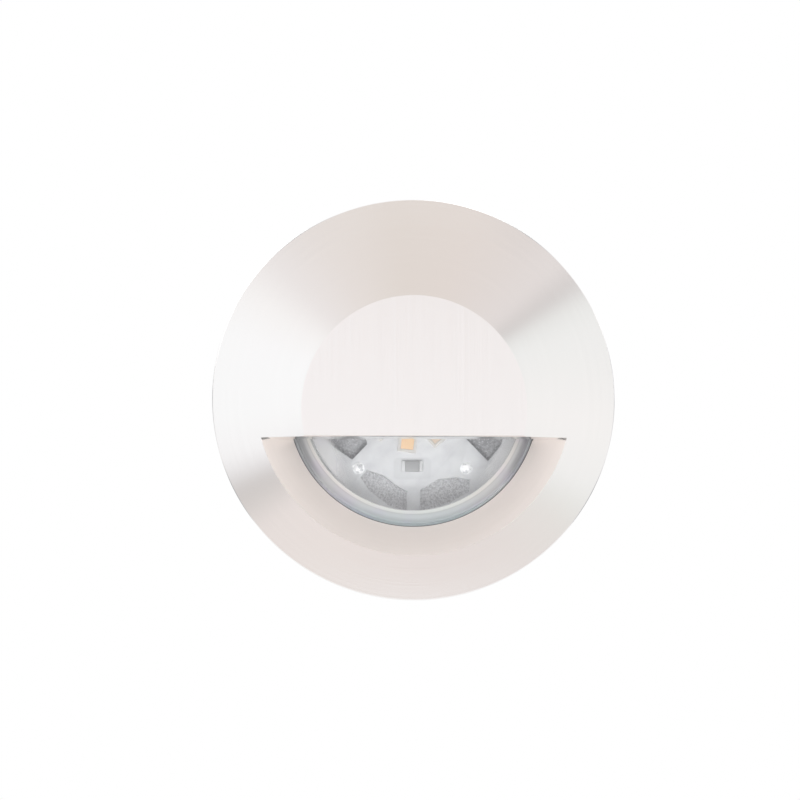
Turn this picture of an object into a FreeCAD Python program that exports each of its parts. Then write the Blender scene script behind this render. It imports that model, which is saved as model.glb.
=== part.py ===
import FreeCAD, Part
import math
import os
import Sketcher

# A recessed step light. The origin lies on the light's axis at the wall's surface. The face looks along
# -Y, the housing goes into the wall along +Y, and +Z is up. All lengths are in millimetres.

SIZES = {
    # face plate: rim, cone, flat front of the hood, scoop and window
    "FlangeWidth": 4.5,
    "RimThickness": 1.2,
    "RimRound": 0.25,
    "ConeAngle": 17.66,
    "LandHeight": 5.47,
    "LandTilt": 2.0,
    "HoodDrop": 6.0,
    "HoodBackHeight": 1.1,
    "HoodRound": 0.2,
    "ScoopAngle": 36.8,
    "ApertureRadius": 18.85,
    "LipDepth": 2.85,
    "LipLand": 0.45,
    "LipWidth": 1.85,
    "SpigotWall": 2.5,
    "SpigotLength": 8.8,
    "GasketThickness": 0.8,
    "GasketGap": 1.1,
    "GasketInset": 0.6,
    # lens and what holds it
    "SealThickness": 0.5,
    "SealInset": 0.12,
    "LensSlack": 0.2,
    "LensFlange": 2.0,
    "LensRise": 1.3,
    "LensFrontInset": 0.45,
    "LensRound": 1.2,
    "RingThickness": 2.0,
    "RingCove": 1.7,
    "RingLip": 0.4,
    # light source
    "BoardGap": 1.0,
    "BoardInset": 1.2,
    "BoardThickness": 1.6,
    "LedCircle": 5.5,
    "LedCount": 8,
    "FirstLedAngle": 263.0,
    "LedLength": 3.5,
    "LedWidth": 2.8,
    "LedHeight": 0.8,
    "LedWall": 0.45,
    "LedCupDepth": 0.3,
    "PhosphorSlack": 0.04,
    "ResistorDrop": 9.35,
    "ResistorLength": 3.2,
    "ResistorWidth": 1.6,
    "ResistorHeight": 0.6,
    "ResistorEnd": 0.5,
    "JointX": 8.2,
    "JointDrop": 9.6,
    "JointRadius": 0.95,
    "JointHeight": 0.7,
    "LeadRadius": 0.45,
    "LeadHole": 0.7,
    "BoardScrewX": 12.2,
    "SpreaderSlack": 0.1,
    "SpreaderThickness": 3.0,
    # housing
    "MouthWall": 2.2,
    "MouthSlack": 0.1,
    "MouthGap": 0.3,
    "SpreaderStep": 1.8,
    "InnerRadius": 18.0,
    "CollarEnd": 14.0,
    "FinInset": 0.9,
    "FinStart": 16.0,
    "FinGroove": 1.8,
    "FinPitch": 3.6,
    "FinDepth": 2.6,
    "FinCount": 5,
    "HousingEnd": 39.0,
    "FlatWall": 2.0,
    "FlatHalfWidth": 6.2,
    "FlatStart": 14.6,
    "SealWire": 1.3,
    "SealGrooveDepth": 1.35,
    "SealGrooveWidth": 1.5,
    "SealGrooveStart": 4.4,
    # driver
    "DriverGap": 1.5,
    "DriverThickness": 1.6,
    "StandoffLength": 11.4,
    "StandoffRadius": 2.2,
    "StandoffInset": 3.0,
    "CapacitorRadius": 4.0,
    "CapacitorLength": 8.6,
    "CapacitorX": 7.2,
    "PartGap": 0.9,
    "InductorRadius": 4.2,
    "InductorLength": 5.0,
    "InductorFlange": 1.25,
    "InductorWaist": 3.4,
    "ChipLength": 5.0,
    "ChipWidth": 4.0,
    "ChipHeight": 1.6,
    "BridgeLength": 6.2,
    "BridgeHeight": 2.4,
    "TerminalLength": 8.0,
    "TerminalWidth": 5.4,
    "TerminalHeight": 6.0,
    "TerminalWay": 1.4,
    # rear cap
    "CapThickness": 2.5,
    "CapPlugSlack": 0.1,
    "CapPlugLength": 3.5,
    "CapPlugWall": 3.4,
    "CapWeb": 2.3,
    "CapSealWire": 1.0,
    "CapSealStart": 1.2,
    "CapSealSpace": 1.2,
    "CapRound": 0.6,
    "BossRadius": 9.6,
    "BossHeight": 1.5,
    "CapScrewCount": 4,
    "CapScrewSink": 1.4,
    # cable gland
    "GlandThread": 6.0,
    "GlandHexFlats": 16.0,
    "GlandHexHeight": 4.0,
    "GlandNeckLength": 6.0,
    "GlandPassage": 3.2,
    "GlandPocket": 4.6,
    "GlandTail": 0.3,
    "GlandPocketSink": 1.2,
    "WasherThickness": 0.8,
    "WasherRadius": 8.0,
    "CableRadius": 2.6,
    "SealRadius": 4.5,
    "SealLength": 9.4,
    "NutFlats": 15.0,
    "NutHexHeight": 5.4,
    "NutDomeHeight": 4.2,
    "NutMouthRadius": 3.4,
    "NutMouthWall": 1.4,
    "NutGap": 0.4,
    "NutRelief": 0.2,
    "NutDomeDrop": 0.8,
    "NutDomeBend": 2.3,
    "LocknutHeight": 2.2,
    # screws
    "ScrewRadius": 1.0,
    "ScrewHeadRadius": 2.1,
    "ScrewHeadHeight": 1.3,
    "ScrewSlack": 0.08,
    "ScrewBite": 4.4,
    "ClipScrewRadius": 0.75,
    "ClipScrewHeadRadius": 1.6,
    "ClipScrewHeadHeight": 0.8,
    "ClipScrewBite": 1.4,
    "ClipHoleSpare": 0.2,
    "SocketDepth": 0.55,
    "SocketShare": 0.95,
    "HoleSpare": 0.6,
    "BoardScrewSpare": 0.4,
    # sprung retaining clips
    "PivotY": 35.0,
    "PivotRise": 2.65,
    "PinRadius": 0.75,
    "PinHeadRadius": 1.25,
    "PinHeadHeight": 0.5,
    "PinSlack": 0.05,
    "BracketThickness": 0.8,
    "BracketHalfWidth": 5.4,
    "BracketLength": 10.6,
    "BracketInset": 1.2,
    "EarLength": 5.2,
    "EarRise": 4.2,
    "EarRound": 1.4,
    "ClipScrewY": 29.6,
    "ClipScrewZ": 3.0,
    "ArmLength": 19.5,
    "ArmTail": 2.0,
    "ArmHalfWidth": 3.6,
    "ArmThickness": 0.6,
    "ArmOffset": 1.85,
    "LugThickness": 0.7,
    "LugRadius": 1.5,
    "ArmSplayAngle": 12.0,
    "TipLength": 4.4,
    "TipWall": 0.4,
    "SpringWire": 0.6,
    "SpringRadius": 1.35,
    "SpringEndGap": 0.14,
    "SpringTurns": 4.0,
    "SpringLegFixed": 3.2,
    "SpringLegArm": 6.0,
}

# Stations along Y and other places that follow from the sizes.
LAYOUT = {
    "SeatRadius": "Sizes.ApertureRadius + Sizes.LipWidth",
    "SpigotRadius": "SeatRadius + Sizes.SpigotWall",
    "MouthRadius": "SpigotRadius + Sizes.MouthSlack",
    "HousingRadius": "MouthRadius + Sizes.MouthWall",
    "FaceRadius": "HousingRadius + Sizes.FlangeWidth",
    "FinRadius": "HousingRadius - Sizes.FinInset",
    "SpreaderBore": "MouthRadius - Sizes.SpreaderStep",
    "LensRadius": "SeatRadius - Sizes.LensSlack",
    "LensFrontRadius": "Sizes.ApertureRadius - Sizes.LensFrontInset",
    "DriverRadius": "Sizes.InnerRadius - Sizes.DriverGap",
    "StandoffCircle": "DriverRadius - Sizes.StandoffInset",
    "CapPlugRadius": "Sizes.InnerRadius - Sizes.CapPlugSlack",
    "CapScrewCircle": "(FinRadius + Sizes.InnerRadius) / 2",
    "FlatDistance": "Sizes.InnerRadius + Sizes.FlatWall",
    "TerminalTop": "Sizes.TerminalWidth - StandoffCircle",
    "ChipLow": "TerminalTop + Sizes.PartGap",
    "CapacitorRise": "ChipLow + Sizes.ChipWidth + 2 * Sizes.PartGap + Sizes.CapacitorRadius",
    "FlangeBack": "-Sizes.GasketThickness",
    "RimFront": "FlangeBack - Sizes.RimThickness",
    "LandFront": "FlangeBack - Sizes.LandHeight",
    "BlankFront": "LandFront - 2 * FaceRadius * tan(Sizes.LandTilt)",
    "BlankTopRadius": "FaceRadius - (RimFront - BlankFront) / tan(Sizes.ConeAngle)",
    "HoodBack": "FlangeBack - Sizes.HoodBackHeight",
    "LipFront": "FlangeBack + Sizes.LipDepth",
    "LipBack": "LipFront + Sizes.LipLand",
    "SpigotEnd": "FlangeBack + Sizes.SpigotLength",
    "GrooveFront": "FlangeBack + Sizes.SealGrooveStart",
    "GrooveBack": "GrooveFront + Sizes.SealGrooveWidth",
    "GrooveRadius": "SpigotRadius - Sizes.SealGrooveDepth",
    "LensFlangeFront": "LipBack + Sizes.SealThickness",
    "LensFront": "LensFlangeFront - Sizes.LensRise",
    "LensBack": "LensFlangeFront + Sizes.LensFlange",
    "RingBack": "LensBack + Sizes.RingThickness",
    "BoardFront": "RingBack + Sizes.BoardGap",
    "BoardBack": "BoardFront + Sizes.BoardThickness",
    "SpreaderBack": "BoardBack + Sizes.SpreaderThickness",
    "MouthEnd": "SpigotEnd + Sizes.MouthGap",
    "DriverFront": "SpreaderBack + Sizes.StandoffLength",
    "DriverBack": "DriverFront + Sizes.DriverThickness",
    "CapBack": "Sizes.HousingEnd + Sizes.CapThickness",
    "PlugFront": "Sizes.HousingEnd - Sizes.CapPlugLength",
    "RecessBack": "CapBack - Sizes.CapWeb",
    "CapSealFront": "PlugFront + Sizes.CapSealStart",
    "CapSealGroove": "CapPlugRadius - Sizes.CapSealWire",
    "BossBack": "CapBack + Sizes.BossHeight",
    "CapScrewSeat": "CapBack - Sizes.CapScrewSink",
    "GlandHexFront": "BossBack + Sizes.WasherThickness",
    "GlandHexBack": "GlandHexFront + Sizes.GlandHexHeight",
    "GlandNeckEnd": "GlandHexBack + Sizes.GlandNeckLength",
    "LocknutFront": "RecessBack - Sizes.LocknutHeight",
    "GlandFront": "LocknutFront - Sizes.GlandTail",
    "PocketFront": "GlandHexBack - Sizes.GlandPocketSink",
    "SealEnd": "PocketFront + Sizes.SealLength",
    "NutFront": "GlandHexBack + Sizes.NutGap",
    "NutShoulder": "NutFront + Sizes.NutHexHeight",
    "NutEnd": "NutShoulder + Sizes.NutDomeHeight",
    "PivotX": "FlatDistance + Sizes.PivotRise",
    "BracketTop": "FlatDistance + Sizes.BracketThickness",
    "BracketRear": "Sizes.HousingEnd - Sizes.BracketInset",
    "EarInner": "Sizes.BracketHalfWidth - Sizes.BracketThickness",
    "SpringHalf": "Sizes.ArmHalfWidth - Sizes.LugThickness - Sizes.SpringWire / 2 - Sizes.SpringEndGap",
    "SpringPitch": "2 * SpringHalf / (Sizes.SpringTurns + 0.5 - Sizes.ArmSplayAngle / 360)",
}

AXIS_Y = FreeCAD.Rotation(FreeCAD.Vector(1, 0, 0), -90)
AGAINST_Y = FreeCAD.Rotation(FreeCAD.Vector(1, 0, 0), 90)
AXIS_X = FreeCAD.Rotation(FreeCAD.Vector(0, 1, 0), 90)
AGAINST_X = FreeCAD.Rotation(FreeCAD.Vector(0, 1, 0), -90)
AXIS_Z = FreeCAD.Rotation()
SAME = 1e-4
SIDES = (("right", 0.0), ("left", 180.0))

doc = FreeCAD.newDocument("StepLight")
parts = []


def make_sheet(name, cells):
    """One row a value: the name in column A, the value or rule in column B under that alias."""
    sheet = doc.addObject("Spreadsheet::Sheet", name)
    for row, (alias, content) in enumerate(cells.items(), start=1):
        sheet.set(f"A{row}", alias)
        sheet.setAlias(f"B{row}", alias)
        sheet.set(f"B{row}", f"={content}" if isinstance(content, str) else str(content))
    return sheet


sizes = make_sheet("Sizes", SIZES)
layout = make_sheet("Layout", LAYOUT)
doc.recompute()


def value(rule):
    """The number that a rule on the two sheets gives."""
    return float(sizes.evalExpression(str(rule)))


def keep(thing, label):
    """Lists a finished sub-part under the name of its node."""
    thing.Label = label
    parts.append(thing)
    return thing


def bind(thing, **rules):
    """Ties properties of a feature to rules on the sheets."""
    for name, rule in rules.items():
        thing.setExpression(name, str(rule))
    return thing


def place(thing, x="0", y="0", z="0", turn=None):
    """Puts a feature at a point given by three rules, turned as asked."""
    spot = FreeCAD.Vector(value(x), value(y), value(z))
    thing.Placement = FreeCAD.Placement(spot, turn or AXIS_Z)
    for axis, rule in (("x", x), ("y", y), ("z", z)):
        thing.setExpression(f"Placement.Base.{axis}", str(rule))
    return thing


# ---------------------------------------------------------------- sketches and turned bodies


def new_body(name):
    return doc.addObject("PartDesign::Body", name)


def origin_feature(body, role):
    """One of a body's own origin planes or axes."""
    return next(f for f in body.Origin.OriginFeatures if f.Role == role)


def new_sketch(body, role, name):
    sketch = body.newObject("Sketcher::SketchObject", name)
    sketch.AttachmentSupport = (origin_feature(body, role), [""])
    sketch.MapMode = "FlatFace"
    return sketch


def add_outline(sketch, corners):
    """A closed run of straight edges; each corner is a pair of rules."""
    first = sketch.GeometryCount
    spots = [FreeCAD.Vector(value(x), value(y), 0) for x, y in corners]
    count = len(corners)
    for i in range(count):
        sketch.addGeometry(Part.LineSegment(spots[i], spots[(i + 1) % count]))
    for i in range(count):
        sketch.addConstraint(Sketcher.Constraint("Coincident", first + i, 2, first + (i + 1) % count, 1))
    for i, (x, y) in enumerate(corners):
        for kind, rule, number in (("DistanceX", x, spots[i].x), ("DistanceY", y, spots[i].y)):
            index = sketch.addConstraint(Sketcher.Constraint(kind, first + i, 1, number))
            sketch.setExpression(f"Constraints[{index}]", str(rule))


def add_circle(sketch, x, y, radius):
    """A circle from rules for its centre and radius."""
    centre = FreeCAD.Vector(value(x), value(y), 0)
    ring = sketch.addGeometry(Part.Circle(centre, FreeCAD.Vector(0, 0, 1), value(radius)))
    wanted = (("DistanceX", x, centre.x), ("DistanceY", y, centre.y))
    for kind, rule, number in wanted:
        index = sketch.addConstraint(Sketcher.Constraint(kind, ring, 3, number))
        sketch.setExpression(f"Constraints[{index}]", str(rule))
    index = sketch.addConstraint(Sketcher.Constraint("Radius", ring, value(radius)))
    sketch.setExpression(f"Constraints[{index}]", str(radius))


def turned(name, corners):
    """A body turned about the light's axis; corners are (radius, station) rules."""
    body = new_body(name)
    sketch = new_sketch(body, "XY_Plane", f"{name}_profile")
    add_outline(sketch, corners)
    doc.recompute()
    turn = body.newObject("PartDesign::Revolution", f"{name}_turn")
    turn.Profile = sketch
    turn.ReferenceAxis = (sketch, ["V_Axis"])
    turn.Angle = 360
    doc.recompute()
    return body


def ring(name, inner, outer, front, back):
    """A plain turned ring."""
    return turned(name, [(inner, front), (outer, front), (outer, back), (inner, back)])


def circles_at(shape, spots):
    """Names of the circular edges that have the given (radius, station)."""
    found = []
    for number, edge in enumerate(shape.Edges, start=1):
        curve = edge.Curve
        if not isinstance(curve, Part.Circle):
            continue
        for radius, station in spots:
            if abs(curve.Radius - value(radius)) < SAME and abs(curve.Center.y - value(station)) < SAME:
                found.append(f"Edge{number}")
    return found


def round_circles(body, name, radius, spots):
    """Rounds turned edges of a body."""
    base = body.Tip
    fillet = body.newObject("PartDesign::Fillet", name)
    fillet.Base = (base, circles_at(base.Shape, spots))
    bind(fillet, Radius=radius)
    doc.recompute()


def pocket(body, name, sketch, length, both_ways=True):
    """Cuts a sketch out of a body, through its plane both ways or one way."""
    cut = body.newObject("PartDesign::Pocket", name)
    cut.Profile = sketch
    cut.Type = "Length"
    cut.SideType = "Symmetric" if both_ways else "One side"
    bind(cut, Length=length)
    doc.recompute()
    return cut


def holes_along_y(body, name, spots, radius):
    """Through holes along the light's axis at (x, z) rules."""
    sketch = new_sketch(body, "XZ_Plane", f"{name}_places")
    for x, z in spots:
        add_circle(sketch, x, z, radius)
    doc.recompute()
    return pocket(body, name, sketch, "4 * Sizes.HousingEnd")


# ---------------------------------------------------------------- primitives


def box(name, x, y, z, length, width, height):
    """A box from its low corner and its three sides."""
    made = doc.addObject("Part::Box", name)
    bind(made, Length=length, Width=width, Height=height)
    return place(made, x, y, z)


def rod(name, x, y, z, radius, length, turn=AXIS_Y):
    """A round bar that starts at a point, along +Y unless it is turned."""
    made = doc.addObject("Part::Cylinder", name)
    bind(made, Radius=radius, Height=length)
    return place(made, x, y, z, turn)


def hexagon(name, x, y, z, flats, length, turn=AXIS_Y):
    """A hexagonal bar by its size across flats."""
    made = doc.addObject("Part::Prism", name)
    made.Polygon = 6
    bind(made, Circumradius=f"({flats}) / (2 * cos(30))", Height=length)
    return place(made, x, y, z, turn)


def fuse(name, *shapes):
    made = doc.addObject("Part::MultiFuse", name)
    made.Shapes = list(shapes)
    made.Refine = True
    return made


def cut(name, base, tool):
    made = doc.addObject("Part::Cut", name)
    made.Base = base
    made.Tool = tool
    return made


def common(name, first, second):
    made = doc.addObject("Part::Common", name)
    made.Base = first
    made.Tool = second
    return made


def group(name, members):
    """Like pieces kept as separate solids under one name."""
    made = doc.addObject("Part::Compound", name)
    made.Links = list(members)
    return made


def at_angle(circle, degrees):
    """(x, z) rules of a point on a circle round the axis; 0 degrees is +X and 90 is +Z."""
    return f"({circle}) * cos({degrees})", f"({circle}) * sin({degrees})"


# ---------------------------------------------------------------- face, lens and light source


def make_face_plate():
    """Rim, shallow cone and hood with its tilted flat front, and the scoop that opens the lower half."""
    body = turned("face_blank", [
        ("0", "Layout.BlankFront"),
        ("Layout.BlankTopRadius", "Layout.BlankFront"),
        ("Layout.FaceRadius", "Layout.RimFront"),
        ("Layout.FaceRadius", "Layout.FlangeBack"),
        ("Layout.SpigotRadius", "Layout.FlangeBack"),
        ("Layout.SpigotRadius", "Layout.GrooveFront"),
        ("Layout.GrooveRadius", "Layout.GrooveFront"),
        ("Layout.GrooveRadius", "Layout.GrooveBack"),
        ("Layout.SpigotRadius", "Layout.GrooveBack"),
        ("Layout.SpigotRadius", "Layout.SpigotEnd"),
        ("Layout.SeatRadius", "Layout.SpigotEnd"),
        ("Layout.SeatRadius", "Layout.LipBack"),
        ("Sizes.ApertureRadius", "Layout.LipBack"),
        ("Sizes.ApertureRadius", "Layout.HoodBack"),
        ("0", "Layout.HoodBack"),
    ])
    round_circles(body, "rim_round", "Sizes.RimRound", [("Layout.FaceRadius", "Layout.RimFront")])
    # the hood's flat front leans, so it is cut by a plane that is further out at the top
    side = new_sketch(body, "YZ_Plane", "land_side")
    lean = "Layout.FaceRadius * tan(Sizes.LandTilt)"
    add_outline(side, [
        (f"Layout.LandFront - {lean}", "Layout.FaceRadius"),
        (f"Layout.LandFront + {lean}", "-Layout.FaceRadius"),
        ("Layout.BlankFront - Layout.FaceRadius", "-Layout.FaceRadius"),
        ("Layout.BlankFront - Layout.FaceRadius", "Layout.FaceRadius"),
    ])
    doc.recompute()
    pocket(body, "land_cut", side, "3 * Layout.FaceRadius")
    # scoop: a cone that narrows from the front to the aperture, only below the hood's straight edge
    reach = "(Layout.LipFront - Layout.BlankFront)"
    cone = doc.addObject("Part::Cone", "scoop_cone")
    bind(cone, Radius2="Sizes.ApertureRadius", Height=reach,
         Radius1=f"Sizes.ApertureRadius + {reach} * tan(Sizes.ScoopAngle)")
    place(cone, y="Layout.BlankFront", turn=AXIS_Y)
    below = box("scoop_half", "-2 * Layout.FaceRadius", "Layout.BlankFront - 1",
                "-Sizes.HoodDrop - 2 * Layout.FaceRadius", "4 * Layout.FaceRadius",
                "Layout.LipFront - Layout.BlankFront + 2", "2 * Layout.FaceRadius")
    scooped = cut("face_scooped", body, common("scoop_tool", cone, below))
    doc.recompute()
    return keep(round_hood(scooped), "face_plate")


def round_hood(scooped):
    """Breaks the hood's straight front edge."""
    drop = value("-Sizes.HoodDrop")
    land = value("Layout.LandFront")
    edges = []
    for number, edge in enumerate(scooped.Shape.Edges, start=1):
        box_of = edge.BoundBox
        straight = isinstance(edge.Curve, Part.Line)
        if straight and abs(box_of.ZMin - drop) < SAME and abs(box_of.ZMax - drop) < SAME \
                and abs(box_of.YMin - land) < 1.0:
            edges.append(number)
    rounded = doc.addObject("Part::Fillet", "face_rounded")
    rounded.Base = scooped
    radius = value("Sizes.HoodRound")
    rounded.Edges = [(number, radius, radius) for number in edges]
    doc.recompute()
    return rounded


def make_gasket_and_seals():
    keep(ring("gasket", "Layout.HousingRadius + Sizes.GasketGap", "Layout.FaceRadius - Sizes.GasketInset",
              "Layout.FlangeBack", "0"), "face_gasket")
    keep(ring("seal", "Sizes.ApertureRadius - Sizes.SealInset", "Layout.LensRadius", "Layout.LipBack",
              "Layout.LensFlangeFront"), "lens_seal")
    wire = doc.addObject("Part::Torus", "housing_ring")
    bind(wire, Radius1="(Layout.GrooveRadius + Layout.MouthRadius) / 2", Radius2="Sizes.SealWire / 2")
    place(wire, y="(Layout.GrooveFront + Layout.GrooveBack) / 2", turn=AXIS_Y)
    keep(wire, "housing_seal")


def make_lens():
    """Clear lens: a flange in the seat and a raised front with a rounded shoulder."""
    body = turned("lens_body", [
        ("0", "Layout.LensFront"),
        ("Layout.LensFrontRadius", "Layout.LensFront"),
        ("Layout.LensFrontRadius", "Layout.LensFlangeFront"),
        ("Layout.LensRadius", "Layout.LensFlangeFront"),
        ("Layout.LensRadius", "Layout.LensBack"),
        ("0", "Layout.LensBack"),
    ])
    shoulder = [("Layout.LensFrontRadius", "Layout.LensFront")]
    round_circles(body, "lens_shoulder", "Sizes.LensRound", shoulder)
    keep(body, "lens")
    keep(turned("ring_body", [
        ("Layout.LensFrontRadius", "Layout.LensBack"),
        ("Layout.LensRadius", "Layout.LensBack"),
        ("Layout.LensRadius", "Layout.RingBack"),
        ("Layout.LensFrontRadius - Sizes.RingCove", "Layout.RingBack"),
        ("Layout.LensFrontRadius - Sizes.RingCove", "Layout.RingBack - Sizes.RingLip"),
    ]), "lens_ring")


# Windows in the board's lower half, as (x, distance below the axis). The upper half has them a half turn
# on. The strip between the two lower windows, the arms with the solder joints and the rim are what is left.
BOARD_WINDOWS = (
    ((1.2, 12.9), (3.9, 11.3), (6.6, 10.9), (8.8, 11.3), (8.7, 13.1), (5.4, 15.0), (1.2, 16.2)),
    ((-0.8, 13.1), (-2.2, 12.3), (-4.3, 10.7), (-6.9, 9.8), (-7.8, 11.0), (-6.5, 13.0), (-3.5, 15.3),
     (-0.8, 16.2)),
    ((11.5, 8.5), (8.2, 5.1), (9.4, 3.0), (14.2, 3.0), (13.6, 5.9)),
    ((-9.1, 8.3), (-6.8, 5.9), (-7.6, 3.0), (-13.9, 3.0), (-13.4, 5.3)),
)


def make_led_board():
    """White board with windows that show the heat spreader behind it."""
    body = ring("board_body", "0", "Layout.SeatRadius - Sizes.BoardInset", "Layout.BoardFront",
                "Layout.BoardBack")
    windows = new_sketch(body, "XZ_Plane", "board_windows")
    for corners in BOARD_WINDOWS:
        for half in (1, -1):
            add_outline(windows, [(str(half * x), str(-half * drop)) for x, drop in corners])
    doc.recompute()
    pocket(body, "board_window_cut", windows, "4 * Sizes.HousingEnd")
    holes_along_y(body, "board_lead_holes", lead_places(), "Sizes.LeadHole")
    holes_along_y(body, "board_screw_holes", board_screw_places(), "Sizes.ScrewRadius + Sizes.ScrewSlack")
    keep(body, "led_board")


def lead_places():
    return [("-Sizes.JointX", "-Sizes.JointDrop"), ("Sizes.JointX", "-Sizes.JointDrop")]


def board_screw_places():
    return [("-Sizes.BoardScrewX", "0"), ("Sizes.BoardScrewX", "0")]


def make_leds():
    """LED packages on a circle, each with its long side along the radius and a cup for the phosphor."""
    bodies, phosphors = [], []
    step = 360.0 / value("Sizes.LedCount")
    cup_length = "(Sizes.LedLength - 2 * Sizes.LedWall)"
    cup_width = "(Sizes.LedWidth - 2 * Sizes.LedWall)"
    front = "Layout.BoardFront - Sizes.LedHeight"
    slack = "Sizes.PhosphorSlack"
    for i in range(int(value("Sizes.LedCount"))):
        angle = value("Sizes.FirstLedAngle") + i * step
        turn = FreeCAD.Rotation(FreeCAD.Vector(0, -1, 0), angle)
        case = led_block(f"led_case_{i}", "Sizes.LedLength", "Sizes.LedWidth", "Sizes.LedHeight",
                         front, turn)
        cup = led_block(f"led_cup_{i}", cup_length, cup_width, "Sizes.LedCupDepth", front, turn)
        bodies.append(cut(f"led_{i}", case, cup))
        phosphors.append(led_block(f"led_phosphor_{i}", f"{cup_length} - {slack}",
                                   f"{cup_width} - {slack}", f"Sizes.LedCupDepth - {slack}",
                                   f"{front} + {slack}", turn))
    keep(group("leds", bodies), "led_bodies")
    keep(group("phosphors", phosphors), "led_phosphors")


def led_block(name, length, width, height, front, turn):
    """A block centred on the LED circle, with its length along the radius."""
    made = doc.addObject("Part::Box", name)
    bind(made, Length=length, Width=height, Height=width)
    inner = value(f"Sizes.LedCircle - ({length}) / 2")
    corner = FreeCAD.Vector(inner, value(front), value(f"-({width}) / 2"))
    made.Placement = FreeCAD.Placement(turn.multVec(corner), turn)
    return made


def make_resistors():
    """Two chip resistors, below and above the LEDs, with tinned ends."""
    chips, ends = [], []
    front = "Layout.BoardFront - Sizes.ResistorHeight"
    for name, middle in (("lower", "-Sizes.ResistorDrop"), ("upper", "Sizes.ResistorDrop")):
        low = f"{middle} - Sizes.ResistorWidth / 2"
        chips.append(box(f"chip_{name}", "-Sizes.ResistorLength / 2 + Sizes.ResistorEnd", front, low,
                         "Sizes.ResistorLength - 2 * Sizes.ResistorEnd", "Sizes.ResistorHeight",
                         "Sizes.ResistorWidth"))
        for side, start in (("left", "-Sizes.ResistorLength / 2"),
                            ("right", "Sizes.ResistorLength / 2 - Sizes.ResistorEnd")):
            ends.append(box(f"chip_{name}_{side}", start, front, low, "Sizes.ResistorEnd",
                            "Sizes.ResistorHeight", "Sizes.ResistorWidth"))
    keep(group("resistors", chips), "chip_resistors")
    keep(group("tinned_ends", ends), "resistor_ends")


def make_solder_joints():
    """A low dome of solder over each lead, flat on the board."""
    domes = []
    for i, (x, z) in enumerate(lead_places()):
        ball = doc.addObject("Part::Ellipsoid", f"joint_dome_{i}")
        bind(ball, Radius1="Sizes.JointHeight", Radius2="Sizes.JointRadius", Radius3="Sizes.JointRadius",
             Angle2="0")
        domes.append(place(ball, x, "Layout.BoardFront", z, AXIS_Y))
    keep(group("joints", domes), "solder_joints")
    leads = [rod(f"lead_{i}", x, "Layout.BoardFront", z, "Sizes.LeadRadius",
                 "Layout.DriverFront - Layout.BoardFront") for i, (x, z) in enumerate(lead_places())]
    keep(group("leads", leads), "led_leads")


def make_heat_spreader():
    body = ring("spreader_body", "0", "Layout.SpreaderBore - Sizes.SpreaderSlack", "Layout.BoardBack",
                "Layout.SpreaderBack")
    holes_along_y(body, "spreader_lead_holes", lead_places(), "Sizes.LeadHole")
    holes_along_y(body, "spreader_screw_holes", board_screw_places(),
                  "Sizes.ScrewRadius + Sizes.ScrewSlack")
    keep(body, "heat_spreader")


# ---------------------------------------------------------------- screws


def screw(name, x, y, z, shank, turn, head=("Sizes.ScrewHeadRadius", "Sizes.ScrewHeadHeight"),
          radius="Sizes.ScrewRadius"):
    """Pan head screw with a hexagon socket. Its head starts at the point and faces back along the turn."""
    head_radius, head_height = head
    direction = turn.multVec(FreeCAD.Vector(0, 0, 1))
    start = [x, y, z]

    def shifted(distance):
        return [f"{rule} + ({distance}) * {part:.6f}" for rule, part in zip(start, direction)]

    stem = rod(f"{name}_stem", *start, radius, shank, turn)
    cap = rod(f"{name}_head", *shifted(f"-({head_height})"), head_radius, head_height, turn)
    socket = hexagon(f"{name}_socket", *shifted(f"-({head_height})"), f"{head_radius} * Sizes.SocketShare",
                     "Sizes.SocketDepth", turn)
    return cut(name, fuse(f"{name}_solid", stem, cap), socket)


def make_screws():
    shank = "Sizes.BoardThickness + Sizes.SpreaderThickness - Sizes.BoardScrewSpare"
    board = [screw(f"board_screw_{i}", x, "Layout.BoardFront", z, shank, AXIS_Y)
             for i, (x, z) in enumerate(board_screw_places())]
    keep(group("board_screw_set", board), "board_screws")
    driver = [screw(f"driver_screw_{i}", x, "Layout.DriverBack", z,
                    "Sizes.DriverThickness + Sizes.ScrewBite", AGAINST_Y)
              for i, (x, z) in enumerate(standoff_places())]
    keep(group("driver_screw_set", driver), "driver_screws")
    cap = [screw(f"cap_screw_{i}", x, "Layout.CapScrewSeat", z,
                 "Layout.CapScrewSeat - Sizes.HousingEnd + Sizes.ScrewBite", AGAINST_Y)
           for i, (x, z) in enumerate(cap_screw_places())]
    keep(group("cap_screw_set", cap), "rear_cap_screws")


def standoff_places():
    return [at_angle("Layout.StandoffCircle", angle) for angle in (90, 210, 330)]


def cap_screw_places():
    count = int(value("Sizes.CapScrewCount"))
    return [at_angle("Layout.CapScrewCircle", 45 + i * 360.0 / count) for i in range(count)]


# ---------------------------------------------------------------- housing and driver


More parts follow.
